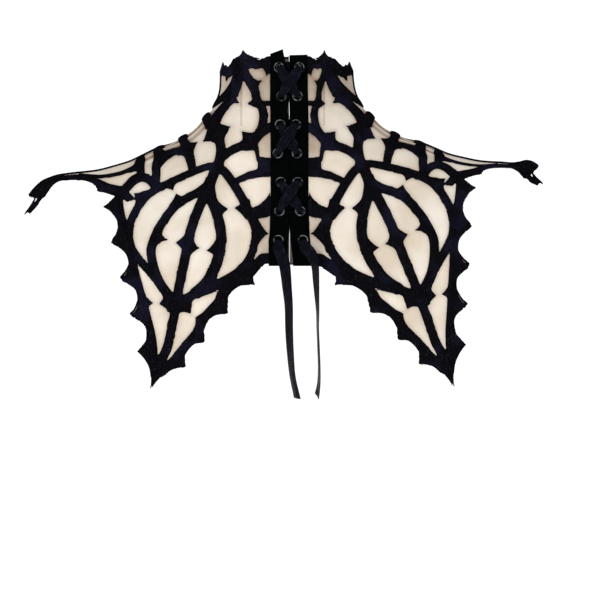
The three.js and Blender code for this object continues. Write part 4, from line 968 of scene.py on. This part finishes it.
def make_lace(name, side):
    stations = [lace_station(np.array([x, EYELET_TOP]), START_HEIGHT, (0, 1), opened)
                for x, opened in LACE_STARTS[side]]
    at = side
    for row in range(1, EYELET_ROWS):
        inside = row % 2 == 0
        next_at = at if inside else -at
        lift = OVER_LIFT if at > 0 and not inside else 0
        start, end = eyelet_place(at, row), eyelet_place(next_at, row + 1)
        along = unit(end - start)
        across = (-along[1] * at, along[0] * at)
        stations.append(lace_station(start, HOLE_HEIGHT, (1, 0), 0))
        near, far = [], []
        for distance, over, under, opened in CROSSING:
            height = (under if inside else over) + lift * float(zone("lift", distance))
            near.append(lace_station(start + along * distance, height, across, opened))
            far.append(lace_station(end - along * distance, height, across, opened))
        middle = lace_station((start + end) / 2, MIDDLE[inside] + lift, across, MIDDLE_OPENED)
        stations += [*near, middle, *far[::-1]]
        at = next_at
    stations.append(lace_station(eyelet_place(at, EYELET_ROWS), LACE_END_HEIGHT, (1, 0), 0))
    stations = np.array(stations)
    for i in range(1, len(stations)):
        if stations[i, 3:6] @ stations[i - 1, 3:6] < 0:
            stations[i, 3:6] *= -1
    way = resample(stations, LACE_STEP)
    widths, thicks, gathered = way[:, 6:].T
    ribbon_mesh(name, way[:, :3], way[:, 3:6], widths, thicks, LACE_CURL + LACE_GATHERED_CURL * gathered)


# The velvet's rounded edge, uneven pile, sunk row of stitches and dents round the eyelets
PLACKET_CELLS, HOLE_MARGIN, HOLE_SNAP = (16, 176), 0.4, 0.15
PILE_DROP, EDGE_ROUND, EDGE_DROP, LINING_RISE = 0.1, 1.6, 1.2, 0.5
WAVER, WAVER_RATES, WAVER_IN = 0.16, (0.2, 0.32), 3
STITCH_SINK, STITCH_IN, STITCH_WIDTH = 0.28, 2.1, 0.45
DENT, DENT_OFF, DENT_WIDTH = 0.35, 2.6, 1.6


def make_placket(name, side):
    share, rise = np.meshgrid(*(np.linspace(0, 1, cells + 1) for cells in PLACKET_CELLS))
    top = between(*PLACKET_TOPS[side], share)
    z = between(PLACKET_BOTTOM, top, rise)
    near, far = edge_at(PLACKET_NEAR[side], z), edge_at(PLACKET_FAR, z)
    x = between(near, far, share)
    a, b, c, d = (k.ravel() for k in corners(np.arange(x.size).reshape(x.shape)))
    tris = np.vstack([np.stack([a, b, c], 1), np.stack([a, c, d], 1)])
    holes = np.array([eyelet_place(side, row) * (side, 1) for row in range(1, EYELET_ROWS + 1)])
    rim = np.stack([x - near, far - x, z - PLACKET_BOTTOM, top - z]).min(0)

    def hole_room(q):
        return norm(q[:, None, :2] - holes, axis=2).min(1) - (EYELET_BORE + HOLE_MARGIN)

    points, tris = cut(np.stack([x, z, rim], -1).reshape(-1, 3), tris, hole_room, HOLE_SNAP)
    x, z, inset = points.T
    edge_fall = 1 - crown(inset, EDGE_ROUND)
    pile = WAVER * np.sin(z * WAVER_RATES[1] + x * WAVER_RATES[0]) * np.clip(inset / WAVER_IN, 0, 1)
    pile -= PILE_DROP + STITCH_SINK * bell(inset, STITCH_IN, STITCH_WIDTH)
    pile -= DENT * bell(hole_room(points), DENT_OFF, DENT_WIDTH)
    outer = on_placket(side * x, z, PLACKET_OUTER - edge_fall * EDGE_DROP + pile)
    inner = on_placket(side * x, z, PLACKET_INNER + edge_fall * LINING_RISE)
    shell(name, "velvet", outer * MM, inner * MM, tris, side < 0, {})


# The eyelet's section from its flange over the rolled lip into the hole: radius and height
EYELET_PROFILE = [(4.5, 0), (4.44, 0.3), (4.2, 0.52), (4.0, 0.6), (3.84, 0.78), (3.6, 0.95), (3.36, 0.9),
                  (3.16, 0.66), (2.9, 0.2), (2.66, -0.5), (2.5, -1.7), (2.8, -1.7), (2.9, -0.05)]
EYELET_STEPS, EYELET_GAP, AXIS_LENGTH = 40, 0.02, 10
LIP_RADIUS, LIP_HEIGHT = (3.2, 4.1), 0.7


def make_eyelet(name, side, row):
    x, z = eyelet_place(side, row)
    foot, top = (on_placket(x, z, PLACKET_OUTER + EYELET_GAP + up) for up in (0, AXIS_LENGTH))
    axis = unit(top - foot)
    one = unit(np.cross(axis, [0, 0, 1.0]))
    two = np.cross(axis, one)
    co, faces = [], []
    for t in np.arange(EYELET_STEPS) * 2 * math.pi / EYELET_STEPS:
        out = one * math.cos(t) + two * math.sin(t)
        co += [foot + out * r + axis * h for r, h in EYELET_PROFILE]
    size = len(EYELET_PROFILE)
    for i in range(EYELET_STEPS):
        n = (i + 1) % EYELET_STEPS
        for k in range(size):
            m = (k + 1) % size
            faces.append((i * size + k, n * size + k, n * size + m, i * size + m))
    # Points on the top of the rolled lip, which carry the painted highlight
    lip = np.array([LIP_RADIUS[0] < r < LIP_RADIUS[1] and h > LIP_HEIGHT for r, h in EYELET_PROFILE])
    make_piece(name, "eyelet_metal", np.array(co) * MM, faces, {"lip": np.tile(lip, EYELET_STEPS)})


# Embroidery and net
STITCH_CELL, STITCH_SNAP, NET_CELL, NET_SNAP = 0.88, 0.12, 2.0, 0.3
NET_UNDER_EDGE, THROUGH_SHARE = 1.4, 0.85
# Drift and length of the stitches' uneven ends: amount, rate by v and rate by turn
DRIFT, LENGTHS = (2.2, 0.7, 40), (0.45, 0.23, 31)
NECK_SHADES, LOW_SHADE, PLACKET_SHADE, ROW_SHADE, FRONT_SHADE = (0.12, 0.26), 0.38, 0.25, 0.2, 0.25
YOKE_SHADE = {-1: 0.12, 1: 0.3}
PUCKER_SHADE, PUCKER_CHANGE = 0.56, 0.5


def ripple(kind, turn, v):
    return kind[0] * np.sin(v * kind[1] + turn * kind[2])


def teeth(along, turn, v):
    """Uneven ends of the stitches, as an offset of the outline."""
    wave = np.sin(along * 2 * math.pi / TOOTH_PITCH + ripple(DRIFT, turn, v))
    length = 1 - LENGTHS[0] + ripple(LENGTHS, turn, v)
    return STITCH_TEETH * wave * zone("calm", surface(turn, v)[:, 2]) * length


def stitch_field(q, front):
    depth, _, along = tracery(*q.T, front)
    return depth + teeth(along, *q.T)


def net_field(q, front):
    return np.maximum(ground_depth(q, front), tracery(*q.T, front, only=edge)[0] - NET_UNDER_EDGE)


def net_shade(side):
    """Painted shade on the net: darker on the neck and in the folds along the shoulder line."""
    out, _, z = surface(*net_points.T).T
    neck = NECK_SHADES[0] * zone("neck_root", z) + NECK_SHADES[1] * zone("neck", z)
    yoke = zone("yoke", z) * (PLACKET_SHADE + YOKE_SHADE[side] * (1 - zone("yoke_top", z)))
    low_cells = LOW_SHADE * zone("low_cells", -z) * (1 - zone("low_out", out))
    near, phase = gathering(*net_points.T)
    fold_shade = near * (PUCKER_SHADE - PUCKER_CHANGE * np.sin(phase))
    beside_rows = ROW_SHADE * zone("rows", net_depth)
    shade = neck + (1 - zone("placket_out", out)) * yoke + low_cells + fold_shade + beside_rows
    return np.where(net_front, FRONT_SHADE, np.clip(shade, 0, 1))


def cloth(name, slot, mesh, side, heights, attributes):
    """One half's sheet between two heights over the surface, and its outer layer's area."""
    points, tris, front = mesh
    outer, inner = (lay(points, front, side, height) for height in heights)
    a, b, c = (outer[tris[:, k]] for k in range(3))
    area = float(norm(np.cross(b - a, c - a), axis=1).sum() / 2)
    return shell(name, slot, outer, inner, tris, side < 0, attributes), area


stitches = half_mesh(STITCH_CELL, stitch_field, STITCH_SNAP)
net_points, net_tris, net_front = half_mesh(NET_CELL, net_field, NET_SNAP)
_, stitch_height, stitch_along = (np.where(stitches[2], *pair) for pair in zip(
    *(tracery(*stitches[0].T, front) for front in (True, False))))
net_depth = np.where(net_front, *(tracery(*net_points.T, front)[0] for front in (True, False)))
through = THROUGH_SHARE * zone("through", net_depth)
stitch_heights = (STITCH_EDGE + STITCH_CROWN * stitch_height, STITCH_FOOT)

for side_name, side in (("left", -1), ("right", 1)):
    shade = net_shade(side)
    tones = {"through": (through * 0, through), "shade": (shade, shade)}
    net, net_area = cloth(f"mesh_{side_name}", "net", (net_points, net_tris, net_front), side,
                          (NET_OUTER, NET_INNER), tones)
    stitched, _ = cloth(f"embroidery_{side_name}", "satin_stitch", stitches, side, stitch_heights,
                        {"along": (stitch_along, stitch_along)})
    make_placket(f"placket_{side_name}", side)
    make_lace(f"lace_{side_name}", side)
    for row in range(1, EYELET_ROWS + 1):
        make_eyelet(f"eyelet_{side_name}_{row}", side, row)


# Stage and light
FLOOR_Z, FLOOR_HALF, FLOOR_GLOW = -0.42, 30.0, 0.72
SKY_FADE = (0.06, 0.2)
LIGHT_TARGET = Vector((0, 0, -0.05))


def make_stage():
    mesh = bpy.data.meshes.new("floor")
    corners = [(x * FLOOR_HALF, y * FLOOR_HALF, FLOOR_Z) for x, y in ((-1, -1), (1, -1), (1, 1), (-1, 1))]
    mesh.from_pydata(corners, [], [(0, 1, 2, 3)])
    mesh.update()
    obj = place("floor", mesh)
    m = Material("floor_paper", Base_Color=(0.93, 0.93, 0.93, 1), Roughness=0.9, Emission_Color=(1, 1, 1, 1),
                 Emission_Strength=FLOOR_GLOW)
    obj.data.materials.append(m.material)


def make_sky(horizon, above):
    """White studio walls all round, brightest level with the object."""
    m = Material("studio", "worlds", "Background", Color=(1, 1, 1, 1))
    parts = m.node("SeparateXYZ")
    m.fill(parts.inputs[0], m.node("TexCoord").outputs["Generated"])
    levels = {"From Min": SKY_FADE[0], "From Max": SKY_FADE[1], "To Min": horizon, "To Max": above}
    fade = m.node("MapRange", **levels)
    m.fill(fade.inputs["Value"], m.maths("ABSOLUTE", parts.outputs["Z"]))
    m.fill(m.shader.inputs["Strength"], fade.outputs["Result"])
    bpy.context.scene.world = m.material


def make_light(name, place_at, size, power):
    light = bpy.data.lights.new(name, "AREA")
    light.shape = "RECTANGLE"
    light.size, light.size_y = size
    light.energy = power
    obj = place(name, light)
    obj.location = place_at
    obj.rotation_euler = (LIGHT_TARGET - Vector(place_at)).to_track_quat("-Z", "Y").to_euler()


make_stage()
for light in (("key", (-1.4, -2.6, 1.5), (1.8, 1.8), 42), ("fill", (1.9, -2.2, 0.6), (2.0, 2.0), 13),
              ("top", (0.1, -0.2, 2.1), (2.0, 1.6), 12), ("front", (0.3, 2.0, 0.9), (2.0, 1.6), 6)):
    make_light(*light)
make_sky(1.1, 0.3)
